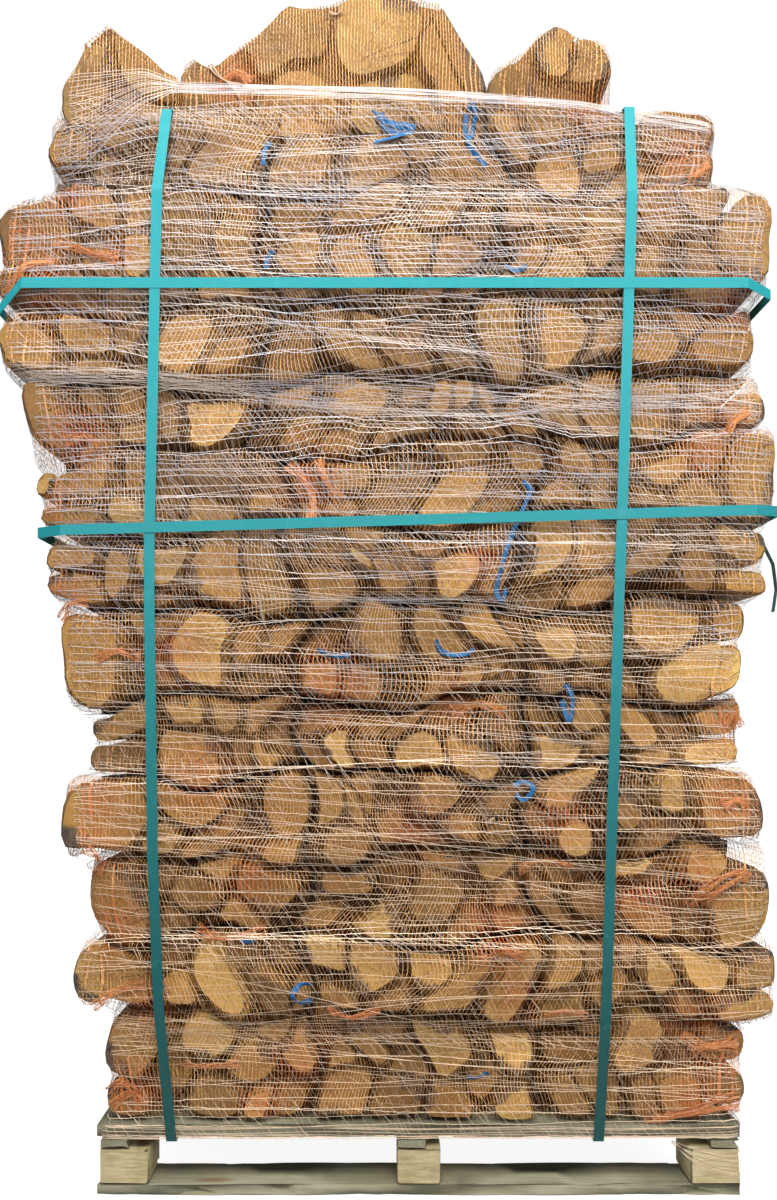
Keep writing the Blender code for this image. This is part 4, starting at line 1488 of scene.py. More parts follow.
@dataclass
class Sack:
    """Half the depth of a net sack of logs, facing the front: its logs and its net."""

    left: float
    right: float
    floor: Callable[[Array], Array]
    roof: Callable[[Array], Array]
    front: float
    back: float
    open_left: bool
    open_right: bool
    open_top: bool
    seed: int
    shades: tuple[float, float] = (0.18, 1.05)
    plan: Optional[Planned] = None
    pitch: NetPitch = NetPitch()
    packer: LogPacker = LogPacker()
    round_up: float = 0.026
    round_corner: float = 0.042
    round_inner: float = 0.022
    round_back: float = 0.028
    inset_left: float = 0.012
    inset_right: float = 0.008
    inset_inner: float = 0.001
    turn_in: float = 0.030
    reach_inner: float = 0.045
    net_back: float = 0.030
    slope: float = 0.85
    lift: float = 0.0022
    log_inset: tuple[float, float] = (0.007, 0.006)
    log_drop: float = 0.003
    log_sink: float = 0.004
    doubled_from: float = 0.2
    outer_logs: float = 0.05
    behind_gap: float = 0.035
    behind_end: float = 0.012
    top_pitch: float = 1.25
    top_slope: float = 0.7
    top_drop: float = 0.004
    dip: float = 0.022
    core_back: float = 0.105
    core_drop: float = 0.022
    # painted shade: the tone of the dark inside box that stands for the shaded logs deeper in
    core_tone: float = 0.0
    core_side: float = 0.050
    core_columns: int = 14

    def __post_init__(self) -> None:
        """Pack the logs and lay out the net's level path."""
        rng = np.random.default_rng(self.seed)
        middle = np.array((self.left + self.right) / 2)
        self.low = float(self.floor(middle))
        self.high = float(self.roof(middle))
        left = self.left + self.log_inset[self.open_left]
        right = self.right - self.log_inset[self.open_right]
        self.logs = self.packer.pack(
            rng, (left, self.low + self.log_drop), (right, self.high - self.log_drop),
            self.front - self.log_sink, (self.open_left, self.open_right), self.shades, self.plan,
        )
        self._follow_slope()
        self.all_logs = self.logs
        if self.back - self.logs.far.mean() > self.doubled_from:
            reach, height = self.logs.outline_points(12)
            chosen = np.zeros(len(self.logs.power), dtype=bool)
            if self.open_left:
                chosen |= reach.min(axis=1) < left + self.outer_logs
            if self.open_right:
                chosen |= reach.max(axis=1) > right - self.outer_logs
            if self.open_top:
                chosen |= height.max(axis=1) > self.high - self.outer_logs
            if chosen.any():
                near = -self.front + self.packer.length + self.behind_gap
                more = self.logs.copy_behind(rng, near, self.back - self.behind_end, chosen)
                self.all_logs = self.logs.join(more)
        self._lay_path()

    def _follow_slope(self) -> None:
        """Raise or lower the logs to follow the layer's slope."""
        across = self.logs.centre[:, 0]
        lift = (self.floor(across) + self.roof(across)) / 2 - (self.low + self.high) / 2
        self.logs.centre[:, 1] += lift
        self.logs.pith[:, 1] += lift

    def _lay_path(self) -> None:
        """The level path of the net, from the left round the front to the right."""
        front = -(self.front - self.net_back)
        corners: list[tuple[float, float]] = []
        radii: list[float] = []
        for edge, inward, is_open in ((self.left, 1, self.open_left), (self.right, -1, self.open_right)):
            if is_open:
                side = edge + inward * (self.inset_left if inward > 0 else self.inset_right)
                run = [(side + inward * self.turn_in, self.back), (side, self.back), (side, front)]
                bends = [0.0, self.round_back, self.round_corner]
            else:
                side = edge + inward * self.inset_inner
                run = [(side, front + self.reach_inner), (side, front)]
                bends = [0.0, self.round_inner]
            corners += run[::inward]
            radii += bends[::inward]
        self.path, self.path_normal, self.path_length = rounded_path(corners, radii)

    def upright(self, up: Array) -> tuple[Array, Array]:
        """The upright section: a straight run between two quarter rounds.

        Args:
            up: distance along the section from its foot.

        Returns:
            The height as a share from 0 to 1, and how far the net is drawn back there.
        """
        half, radius = self._section
        arc = radius * np.pi / 2
        from_middle = up - (half - radius + arc)
        beyond = np.clip((np.abs(from_middle) - (half - radius)) / radius, 0, np.pi / 2)
        offset = np.where(beyond > 0, half - radius + radius * np.sin(beyond), np.abs(from_middle))
        share = 0.5 + 0.5 * np.sign(from_middle) * offset / half
        return share, radius * (1 - np.cos(beyond))

    @property
    def _section(self) -> tuple[float, float]:
        """Half the height of the upright section, and the radius of its rounds."""
        half = (self.high - self.low) / 2
        return half, min(self.round_up, half * 0.55)

    @property
    def section_length(self) -> float:
        """Length of the upright section."""
        half, radius = self._section
        return 2 * (half - radius) + radius * np.pi

    def net_point(self, along: Array, up: Array) -> Array:
        """Where the net is.

        The base is a rounded box. In front it is pushed out to the tents over the log ends, and
        at an open side to the tents over the flanks, each by how far the base faces that way.

        Args:
            along: distance along the level path.
            up: distance along the upright section.

        Returns:
            Places, with a last axis of 3.
        """
        along, up = np.broadcast_arrays(along, up)
        base, normal = (
            along_path(along, self.path_length, table) for table in (self.path, self.path_normal)
        )
        share, drawn = self.upright(up)
        spot = base - normal * (drawn * (1 - 0.5 * np.clip(normal[..., 0], 0, 1)))[..., None]
        x, y = spot[..., 0], spot[..., 1]
        z = self.floor(x) + share * (self.roof(x) - self.floor(x))
        hold = np.clip(np.minimum(share, 1 - share) / 0.06, 0, 1) ** 0.5
        faces_front = hold * np.clip(-normal[..., 1], 0, 1) ** 0.6
        tent = self.logs.end_tent(x, z, self.slope, self.lift)
        y = y + faces_front * (np.minimum(y, -tent) - y)
        for side, is_open in ((-1, self.open_left), (1, self.open_right)):
            if is_open:
                faces_side = hold * np.clip(side * normal[..., 0], 0, 1) ** 0.6
                tent = side * self.all_logs.flank_tent(side, y, z, self.slope, self.lift)
                pushed = np.minimum(x, tent) if side < 0 else np.maximum(x, tent)
                x = x + faces_side * (pushed - x)
        return np.stack([x, y, z], axis=-1)

    def net(self, ribbons: Ribbons, place: Callable[[Array], Array], flip: bool) -> None:
        """Add the net: upright chains of tape, and zigzag wefts between them.

        Args:
            ribbons: where the strips go.
            place: moves finished points to where they belong.
            flip: whether that turns the faces over.
        """
        pitch = self.pitch
        facing = np.abs(self.path_normal[:, 1])
        density = facing / pitch.front + (1 - facing) / pitch.side
        amount = running_total((density[1:] + density[:-1]) / 2 * np.diff(self.path_length))
        chains = int(amount[-1])
        along = np.interp(np.arange(chains + 1) / chains * amount[-1], amount, self.path_length)
        section = self.section_length
        steps = max(14, int(section / pitch.rise))
        bend = np.linspace(-1, 1, steps)
        up = section * (0.5 + 0.5 * (0.8 * bend + 0.2 * np.sin(bend * np.pi / 2)))
        sway = pitch.sway * np.sin(along[:, None] * 61.0 + up[None, :] * 44.0 + self.seed)
        side = np.array([-0.5, 0.5])
        spots = along[:, None] + sway
        vivid = VIVID.amount(place(self.net_point(spots, up[None, :])))
        width = pitch.tape * (1 + pitch.bunched_tape * vivid)
        chain = self.net_point(spots[..., None] + side * width[..., None], up[None, :, None])
        turn = pitch.turn * np.sin(along[:, None] * 700.0 + up[None, :] * 90.0)
        chain[..., 1] -= (side + 0.5) * (width * turn)[..., None]
        ribbons.add(place(chain), flip, vivid)
        courses = int(section / pitch.course)
        level = (np.arange(courses) + 0.5) / courses * section
        zigzag = np.where(np.arange(len(along)) % 2 == 0, -pitch.zigzag, pitch.zigzag) * section / courses
        heights = level[:, None] + zigzag
        vivid = VIVID.amount(place(self.net_point(along[None, :], heights)))
        width = pitch.weft * (1 + pitch.bunched_weft * vivid)
        weft = self.net_point(along[None, :, None], heights[..., None] + side * width[..., None])
        ribbons.add(place(weft), not flip, vivid)
        if self.open_top:
            self._top_net(ribbons, place, flip)

    def _top_net(self, ribbons: Ribbons, place: Callable[[Array], Array], flip: bool) -> None:
        """Add the net over the sack's top: both families of tape over the crowns of the logs."""
        left = self.left + (self.inset_left + self.round_up if self.open_left else 0.002)
        right = self.right - (self.inset_left + self.round_up if self.open_right else 0.002)
        front = -(self.front - self.net_back) + self.round_up
        pitch = self.pitch.side * self.top_pitch
        pair = np.array([-0.5, 0.5]) * self.pitch.tape
        across = np.linspace(left, right, max(3, int((right - left) / pitch)))
        deep = np.linspace(front, self.back, max(3, int((self.back - front) / pitch)))

        def surface(x: Array, y: Array) -> Array:
            """The roof, lowered towards a neighbour and raised over the logs."""
            x, y = np.broadcast_arrays(x, y)
            z = self.roof(x) - self.top_drop
            for edge, is_open in ((self.left, self.open_left), (self.right, self.open_right)):
                if not is_open:
                    near = np.clip(1 - np.abs(x - edge) / self.dip, 0, 1)
                    z = z - self.dip * (1 - np.sqrt(1 - near**2))
            crown = self.all_logs.crown_tent(x, y, self.top_slope, self.lift)
            z = np.maximum(z, np.minimum(crown, self.roof(x) + 0.001))
            return np.stack([x, y, z], axis=-1)

        ribbons.add(place(surface(across[:, None, None] + pair, deep[None, :, None])), flip)
        ribbons.add(place(surface(across[None, :, None], deep[:, None, None] + pair)), not flip)

    def add_to(
        self, wood: MeshParts, ribbons: Ribbons, place: Callable[[Array], Array], flip: bool,
        points: int = 20,
    ) -> None:
        """Add the logs, the inside, a box of painted shade, and the net.

        Args:
            wood: where the logs and the inside go.
            ribbons: where the net goes.
            place: moves finished points to where they belong.
            flip: whether that turns the faces over.
            points: points round each log's outline.
        """
        self.all_logs.add_to(wood, place, flip, points)
        self.core(wood, place, flip)
        self.net(ribbons, place, flip)

    def core(self, parts: MeshParts, place: Callable[[Array], Array], flip: bool) -> None:
        """Add the sack's inside as painted shade: a dark box well behind the log ends, cut into columns."""
        left = self.left + self.core_side * self.open_left
        right = self.right - self.core_side * self.open_right
        front = -(self.front - self.core_back)
        top_drop = self.core_drop if self.open_top else self.top_drop
        columns = self.core_columns
        x = np.repeat(np.linspace(left, right, columns), 4)
        behind = self.back + 0.006
        y = np.tile([front, front, behind, behind], columns)
        share = np.tile([0, 1, 1, 0], columns)
        z = np.where(share == 0, self.floor(x) - 0.0008, self.roof(x) - top_drop)
        last = 4 * (columns - 1)
        ends = np.array([[0, 1, 2, 3], [last + 3, last + 2, last + 1, last]])
        faces = np.concatenate([grid_faces(columns, 4, wrap=True), ends])
        if flip:
            faces = faces[:, ::-1]
        zeros = np.zeros(len(x))
        parts.add(
            place(np.stack([x, y, z], axis=-1)), [faces], (True,), heart=np.zeros((len(x), 3)),
            tone=zeros + self.core_tone, hue=zeros + 1.0, bark=zeros, cut=zeros,
        )


@dataclass(frozen=True)
class SackRow:
    """Three sacks across one layer, on the front or the back half."""

    layer: int
    facing_front: bool

    @property
    def label(self) -> str:
        """The row's part of a name."""
        return f"{'front' if self.facing_front else 'back'}_{self.layer + 1:02d}"

    def sacks(self) -> list[Sack]:
        """The row's sacks, all facing the front."""
        splits = STACK.splits(self.layer, self.facing_front)
        pitch = NetPitch() if self.facing_front else COARSE_NET
        top_row = self.layer == STACK.layers - 1
        made = []
        for number in range(STACK.sacks_across):
            made.append(Sack(
                left=splits[number], right=splits[number + 1],
                floor=lambda x: STACK.edge(self.layer, x) + 0.001,
                roof=lambda x: STACK.edge(self.layer + 1, x) - 0.001,
                front=STACK.front_reach[self.layer] - 0.0015, back=-0.001,
                open_left=number == 0, open_right=number == STACK.sacks_across - 1,
                open_top=top_row, core_back=0.045 if top_row else 0.105, core_drop=0.012,
                seed=self.layer * 10 + number + (0 if self.facing_front else 500), pitch=pitch,
                round_up=0.017 if self.layer else 0.012,
                plan=PLAN.sack(splits[number], splits[number + 1], self.layer) if self.facing_front else None,
            ))
        return made

    def build(self, palette: Palette, skin: Skin) -> None:
        """Make the row's logs and net, in place of its solid."""
        side = 1.0 if self.facing_front else -1.0

        def place(points: Array) -> Array:
            """Mirror the back rows, and settle them all."""
            return SETTLED.shift(points * np.array([1.0, side, 1.0]))

        wood, net = MeshParts(), Ribbons()
        for sack in self.sacks():
            sack.add_to(wood, net, place, not self.facing_front, 20 if self.facing_front else 14)
        logs = wood.build(f"sack_logs_{self.label}", palette.wood, Slot.LOGS)
        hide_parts(f"sack_row_{self.label}")
        net.build(f"sack_net_{self.label}", palette.net, Slot.NET)
        skin.gather(net)


@dataclass(frozen=True)
class TopSack:
    """A loose sack on the stack, under a crest that is given in the front view."""

    name: str
    low: tuple[float, float, float]
    high: tuple[float, float, float]
    crest: tuple[tuple[float, float], ...]
    share_area: tuple[float, float] = (0.0120, 0.0150)
    slope: float = 0.40
    deeper: float = 1.036

    def warp(self, points: Array) -> Array:
        """Bring the sack's level top to the crest, the rest in proportion.

        The crest stands a little behind the front view's plane, so it is drawn larger by deeper.
        """
        share = (points[..., 2] - self.low[2]) / (self.high[2] - self.low[2])
        places = np.array(self.crest)
        across = VIEW.camera_x + (VIEW.x(places[:, 0]) - VIEW.camera_x) * self.deeper
        crest = VIEW.camera_z + (VIEW.z(places[:, 1]) - VIEW.camera_z) * self.deeper
        crest = np.interp(points[..., 0], across, crest)
        z = self.low[2] + share * (crest - self.low[2])
        return np.stack([points[..., 0], points[..., 1], z], axis=-1)

    def build(self, palette: Palette, skin: Skin) -> None:
        """Make both halves of the sack, in place of its solid."""
        middle = (self.low[1] + self.high[1]) / 2
        wood, net = MeshParts(), Ribbons()
        packer = LogPacker(
            length=0.215, share_area=self.share_area, halved=0.30, missing=0.0, corner_cut=0.006
        )
        for half in (0, 1):
            sign = 1.0 if half == 0 else -1.0

            def place(points: Array, sign: float = sign) -> Array:
                """Put one half round the sack's middle."""
                turned = points * np.array([1.0, sign, 1.0]) + np.array([0.0, middle, 0.0])
                return self.warp(turned)

            sack = Sack(
                left=self.low[0], right=self.high[0],
                floor=lambda x: np.full(np.shape(x), self.low[2] - 0.006),
                roof=lambda x: np.full(np.shape(x), self.high[2] - 0.002),
                front=middle - self.low[1] - 0.001, back=-0.001, open_left=True, open_right=True,
                open_top=True, seed=900 + 10 * len(self.name) + half, packer=packer,
                pitch=NetPitch(front=0.0049, side=0.0115, tape=0.0011), slope=self.slope, round_corner=0.030,
                # the inside box is painted shade, at a mid-dark tone here
                shades=(0.55, 0.80), core_back=0.034, core_drop=0.004, core_tone=0.34,
            )
            sack.add_to(wood, net, place, half == 1)
        logs = wood.build(f"{self.name}_logs", palette.wood, Slot.LOGS)
        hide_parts(self.name)
        net.build(f"{self.name}_net", palette.net, Slot.NET)
        skin.gather(net)


@dataclass(frozen=True)
class SackStack:
    """All the sacks."""

    top_sacks: tuple[TopSack, ...] = (
        TopSack(
            "top_sack_left_corner", (-0.568, -0.594, 1.650), (-0.362, -0.150, 1.820),
            (
                (50, 104), (58, 86), (68, 79), (86, 71), (90, 47), (101, 37), (111, 27), (128, 42),
                (146, 58), (172, 82),
            ),
        ),
        TopSack(
            "top_sack_centre", (-0.386, -0.592, 1.650), (0.114, -0.110, 1.845),
            (
                (176, 84), (186, 68), (196, 62), (208, 72), (216, 74), (232, 57), (262, 35), (287, 8),
                (330, 9), (345, 4), (400, 3), (438, 9), (453, 38), (467, 60), (484, 86),
            ),
            (0.0150, 0.0180),
        ),
        TopSack(
            "top_sack_right", (0.094, -0.588, 1.650), (0.315, -0.120, 1.812),
            (
                (486, 82), (494, 78), (508, 68), (520, 58), (537, 37), (552, 29), (566, 33), (578, 44),
                (596, 45), (608, 52), (620, 76),
            ),
        ),
        TopSack(
            "top_sack_back_left", (-0.368, 0.100, 1.650), (-0.040, 0.580, 1.835),
            ((180, 82), (215, 30), (260, 10), (320, 9), (370, 26), (394, 80)),
        ),
        TopSack(
            "top_sack_back_right", (-0.020, 0.110, 1.650), (0.300, 0.575, 1.822),
            ((405, 80), (440, 32), (490, 17), (550, 19), (590, 36), (615, 84)),
        ),
    )

    def build(self, palette: Palette) -> Skin:
        """Make every row and top sack, and return their outside."""
        skin = Skin()
        for layer in range(STACK.layers):
            for facing_front in (True, False):
                SackRow(layer, facing_front).build(palette, skin)
        for sack in self.top_sacks:
            sack.build(palette, skin)
        skin.settle()
        return skin


# Netting wound round the stack


@dataclass(frozen=True)
class Gather:
    """A line in the front view towards which the wound threads are drawn together."""

    start: tuple[float, float]
    end: tuple[float, float]
    width: float
    pull: float


@dataclass(frozen=True)
class Pinch:
    """A place in the front view where a strap pinches the threads, which fan out beside it."""

    place: tuple[float, float]
    reach: float
    height: float
    pull: float


@dataclass(frozen=True)
class WrapNetting:
    """Stretch netting: level threads with slanting ties, drawn together here and there."""

    skin: Skin
    gathers: tuple[Gather, ...] = (
        Gather((165, 190), (700, 198), 0.030, 0.60),
        Gather((150, 378), (335, 409), 0.036, 0.92),
        Gather((320, 406), (540, 418), 0.034, 0.88),
        Gather((262, 322), (460, 356), 0.022, 0.75),
        Gather((440, 350), (640, 388), 0.026, 0.80),
        Gather((510, 411), (765, 388), 0.026, 0.80),
        Gather((165, 470), (640, 480), 0.020, 0.50),
        Gather((270, 600), (520, 600), 0.024, 0.75),
        Gather((480, 640), (740, 652), 0.024, 0.70),
        Gather((110, 780), (740, 790), 0.016, 0.45),
        Gather((110, 935), (740, 950), 0.022, 0.65),
        Gather((110, 1035), (740, 1046), 0.022, 0.65),
    )
    pinches: tuple[Pinch, ...] = (
        Pinch((166, 108), 0.12, 0.11, 0.72),
        Pinch((150, 206), 0.10, 0.05, 0.35),
        Pinch((632, 112), 0.10, 0.08, 0.60),
        Pinch((626, 232), 0.09, 0.05, 0.40),
    )
    low: float = 0.092
    high: float = 1.716
    thread: float = 0.00064
    tie: float = 0.00058
    tie_pitch: float = 0.0105
    tie_pitch_low: float = 0.0190
    sparse_below: float = 0.95
    tie_pitch_behind: float = 0.026
    tie_run: float = 0.0125
    near_points: tuple[float, float] = (0.011, 0.030)
    families: tuple[tuple[float, float], ...] = ((0.014, 0.0152), (-0.026, 0.0172))
    wavers: tuple[tuple[float, int, int, int], ...] = (
        (0.0016, 11, 37, 1), (0.0007, 29, 91, 2), (0.0005, 171, 311, 0),
    )
    bands: tuple[tuple[str, float, float, float, int], ...] = (
        ("netting_top_hem", -0.016, 0.002, 0.0, 24),
        ("netting_gathered_band", 1.225, 1.265, -0.022, 13),
        ("netting_foot_band", 0.0915, 0.1085, 0.0, 8),
    )
    band_thread: float = 0.0007
    band_weave: float = 0.006
    loose_threads: int = 70
    foot: float = 0.0905
    unit: float = 0.6
    unit_across: float = 0.56
    fan_from: float = -0.388
    fan_run: float = 0.16
    fan_drop: float = 0.145
    half_width: float = 0.570
    half_depth: float = 0.620

    def _amount(self, near: float, far: float) -> tuple[Array, Array, Array]:
        """The unit path round the stack, and the steps made so far: near in front, far behind.

        The path is a rounded rectangle that starts at the back's middle and goes past the left
        side first.

        Args:
            near: how far apart the steps are in front.
            far: how far apart they are behind.

        Returns:
            The path's points, the distances along it, and the number of steps so far.
        """
        corners = [(0, 1), (-1, 1), (-1, -1), (1, -1), (1, 1), (0, 1)]
        points, _, length = rounded_path(corners, [0, 0.085, 0.085, 0.085, 0.085, 0])
        front = np.clip(-points[:, 1] * 4 - 3, 0, 1)
        step = (near * front + far * (1 - front)) / self.unit
        return points, length, running_total(np.diff(length) / step[1:])

    def _round(self, near: float, far: float) -> tuple[Array, Array]:
        """Points once round, near apart in front and far apart behind."""
        points, length, amount = self._amount(near, far)
        even = np.interp(np.linspace(0, amount[-1], int(amount[-1])), amount, length)
        return tuple(along_path(even, length, points).T)

    def _draw_together(self, x: Array, z: Array, front: Array) -> Array:
        """Move heights towards each gather's line by pull * gap * exp(-(gap / width) ** 2)."""
        for number, gather in enumerate(self.gathers):
            x0, x1 = VIEW.x(gather.start[0]), VIEW.x(gather.end[0])
            z0, z1 = VIEW.z(gather.start[1]), VIEW.z(gather.end[1])
            line = z0 + (z1 - z0) * (x - x0) / (x1 - x0)
            inside = np.clip((x - x0) / 0.08 + 0.5, 0, 1) * np.clip((x1 - x) / 0.08 + 0.5, 0, 1)
            behind = 0.5 + 0.5 * np.sin(x * 5.0 + number * 2.4)
            weight = gather.pull * (front * inside + (1 - front) * behind * 0.7)
            line = np.where(front > 0.5, line, (z0 + z1) / 2 + 0.02 * np.sin(x * 3 + number))
            gap = z - line
            z = z - weight * gap * np.exp(-((gap / (gather.width * 1.6)) ** 2))
        for pinch in self.pinches:
            x0, z0 = VIEW.x(pinch.place[0]), VIEW.z(pinch.place[1])
            gap = z - z0
            near = np.exp(-(((x - x0) / pinch.reach) ** 2)) * np.exp(-((gap / pinch.height) ** 2))
            z = z - front * pinch.pull * gap * near
        return z

    def surface(self, unit_x: Array, unit_y: Array, z: Array, proud: Array) -> Array:
        """Put unit places on the taut outline at heights z, proud of it by a little."""
        angle = np.arctan2(unit_y * self.half_depth, unit_x * self.half_width)
        reach = self.skin.reach(angle, z) + proud
        return np.stack([reach * np.cos(angle), reach * np.sin(angle), z], axis=-1)

    def _heights(self, rng: np.random.Generator, spacing: Callable[[Array], Array]) -> Array:
        """Heights from low to high whose spacing varies with the height, jittered."""
        fine = np.linspace(self.low, self.high, 800)
        amount = running_total(np.diff(fine) / spacing(fine[1:]))
        count = int(amount[-1])
        return np.interp(np.arange(count) + rng.uniform(-0.3, 0.3, count), amount, fine)

    def _path(self, heights: Array, slope: Array, unit: tuple[Array, Array], seed: float) -> Array:
        """Heights of each thread at places round the stack, sloping and wavering."""
        unit_x, unit_y = np.broadcast_arrays(*unit)
        turn = np.arctan2(unit_x, unit_y)
        front = (unit_y < -0.5).astype(float)
        x = unit_x * self.unit_across
        level = heights[:, None]
        waver = sum(
            size * np.sin(turn * round_pace + level * up_pace + seed * shift)
            for size, round_pace, up_pace, shift in self.wavers
        )
        lean = slope[:, None] * np.clip((level - self.low) / 0.05, 0, 1)
        z = level + lean * x + waver
        z = self._draw_together(np.broadcast_to(x, z.shape), z, np.broadcast_to(front, z.shape))
        return np.clip(z, self.foot, self._ceiling(x))

    def _ceiling(self, x: Array) -> Array:
        """How high the netting's edge goes at x: highest between the upright straps."""
        places = (-0.60, -0.44, -0.38, 0.27, 0.34, 0.55)
        return np.interp(x, places, (1.745, 1.752, 1.728, 1.706, 1.690, 1.665))

    def _ribbon(
        self, unit_x: Array, unit_y: Array, z: Array, width: Union[float, Array], proud: float
    ) -> Array:
        """Strips of a width along paths on the outline."""
        pair = np.array([-0.5, 0.5]) * width
        unit_x, unit_y, z = np.broadcast_arrays(unit_x, unit_y, z)
        return self.surface(unit_x[..., None], unit_y[..., None], z[..., None] + pair, np.array(proud))

    def build(self, palette: Palette) -> None:
        """Make the threads, the ties between them, and the gathered bands."""
        rng = np.random.default_rng(7)
        threads = Ribbons()
        ties = Ribbons()
        unit = self._round(*self.near_points)
        for family, (lean, gap) in enumerate(self.families):
            heights = self._heights(rng, lambda z: gap * (1.15 - 0.22 * z))
            slope = lean + 0.020 * np.sin(heights * 5.0 + family * 2.0) + rng.normal(0, 0.004, len(heights))
            z = self._path(heights, slope, (unit[0][None], unit[1][None]), family * 3.1)
            glow = rng.choice([0.15, 0.6, 1.0], (len(heights), 1), p=[0.30, 0.36, 0.34])
            width = self.thread * (0.75 + 0.5 * glow)[..., None]
            strips = self._ribbon(unit[0][None], unit[1][None], z, width, 0.0014 + 0.0004 * family)
            threads.add(strips, True, glow)
            low = heights < self.sparse_below
            for part, pitch in ((low, self.tie_pitch_low), (~low, self.tie_pitch)):
                tied = self._ties(rng, heights[part], slope[part], family * 3.1, pitch)
                glow = np.repeat(rng.choice([0.2, 1.0], (len(tied), tied.shape[1] // 2)), 2, axis=1)
                ties.add(tied, True, glow, broken=True)
        self._loose(rng, threads)
        self._over_block(rng, threads)
        threads.build("wrap_threads", palette.thread, Slot.WRAP)
        ties.build("wrap_ties", palette.thread, Slot.WRAP)
        self._bands(rng, palette)

    def _ties(
        self, rng: np.random.Generator, heights: Array, slope: Array, seed: float, pitch: float
    ) -> Array:
        """Short ties, each from a thread down to the next one and a little to the right."""
        points, length, amount = self._amount(pitch, self.tie_pitch_behind)
        count = int(amount[-1])
        rows = len(heights) - 1
        number = np.arange(count)[None] + rng.uniform(0, 1, (rows, 1))
        number = number + rng.uniform(-0.38, 0.38, (rows, count))
        start = np.interp(number, amount, length)
        run = self.tie_run / self.unit * rng.uniform(0.6, 1.35, (rows, count))
        ends = []
        for spot, which in ((start, slice(1, None)), (start + run, slice(0, -1))):
            unit = tuple(np.moveaxis(along_path(spot, length, points), -1, 0))
            z = self._path(heights[which], slope[which], unit, seed)
            ends.append(self._ribbon(unit[0], unit[1], z, self.tie, 0.0012))
        return np.stack(ends, axis=2).reshape(rows, count * 2, 2, 3)

    def _loose(self, rng: np.random.Generator, threads: Ribbons) -> None:
        """Add finer loose threads that slant across the others, each round the stack."""
        unit = self._round(0.016, 0.040)
        turn = np.arctan2(unit[0], unit[1])
        count = self.loose_threads
        heights = rng.uniform(self.low + 0.06, self.high - 0.06, count)[:, None]
        slope = rng.normal(-0.02, 0.10, count)[:, None]
        bend = rng.uniform(0.004, 0.016, count)[:, None] * np.sin(
            turn * rng.integers(2, 5, count)[:, None] + rng.uniform(0, 6.28, count)[:, None]
        )
        z = heights + slope * unit[0] * 0.5 * np.abs(unit[1]) + bend
        z = np.clip(z, 0.135, self._ceiling(unit[0] * self.unit_across))
        threads.add(self._ribbon(unit[0][None], unit[1][None], z, self.tie * 1.1, 0.0020), True, 0.9)

    def _over_block(self, rng: np.random.Generator, threads: Ribbons, count: int = 10) -> None:
        """Add the strands that have slipped over the front right block, in front and at its side."""
        low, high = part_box("pallet_block_front_right")
        share = np.linspace(0, 1, 15)[None]
        level = np.linspace(low[2] + 0.010, high[2] - 0.004, count)[:, None]
        level = level + rng.normal(0, 0.002, (count, 1))
        corner = 0.62
        x = np.interp(share, (0, corner, 1), (low[0] - 0.03, high[0] + 0.0012, high[0] + 0.0012))
        y = np.interp(share, (0, corner, 1), (low[1] - 0.0014, low[1] - 0.0014, high[1] + 0.02))
        rise = (high[2] + 0.012 - level) * (np.abs(share - corner) / corner) ** 2.2
        z = level + rise + 0.0015 * np.sin(share * 9 + level * 300)
        spots = np.stack(np.broadcast_arrays(x, y, z), axis=-1)
        pair = np.array([-0.5, 0.5])[:, None] * np.array([0.0, 0.0, self.thread])
        threads.add(spots[:, :, None] + pair, True, 0.9)

    def _bands(self, rng: np.random.Generator, palette: Palette) -> None:
        """Make the hem and the gathered bands from many close threads, in place of their solids."""
        for name, low, high, rise, count in self.bands:
            band = Ribbons()
            heights = np.sort(rng.uniform(low, high, count))
            unit_x, unit_y = self._round(0.014, 0.030)
            turn = np.linspace(0, 2 * np.pi, len(unit_x))
            phase = rng.uniform(0, 6.28, count)[:, None]
            weave = self.band_weave * np.sin(turn * rng.integers(3, 9, count)[:, None] + phase)
            z = heights[:, None] + weave * (0.25 if low < 0.2 else 1.0) + rise * unit_x[None, :]
            if low < 0:
                z = z + self._ceiling(unit_x * self.unit_across)[None]
            z = np.maximum(z, self.foot)
            if low < 0:
                fan = np.clip((self.fan_from - unit_x * self.unit_across) / self.fan_run, 0, 1)
                fan = fan * np.clip((0.5 - unit_y) / 0.5, 0, 1)
                z = z - fan[None] * np.linspace(self.fan_drop, 0.0, count)[:, None]
            band.add(self._ribbon(unit_x[None], unit_y[None], z, self.band_thread, 0.0018), True, 0.75)
            piece = band.build(f"{name}_threads", palette.thread, Slot.WRAP)
            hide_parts(name)


# Folds of the sacks' net


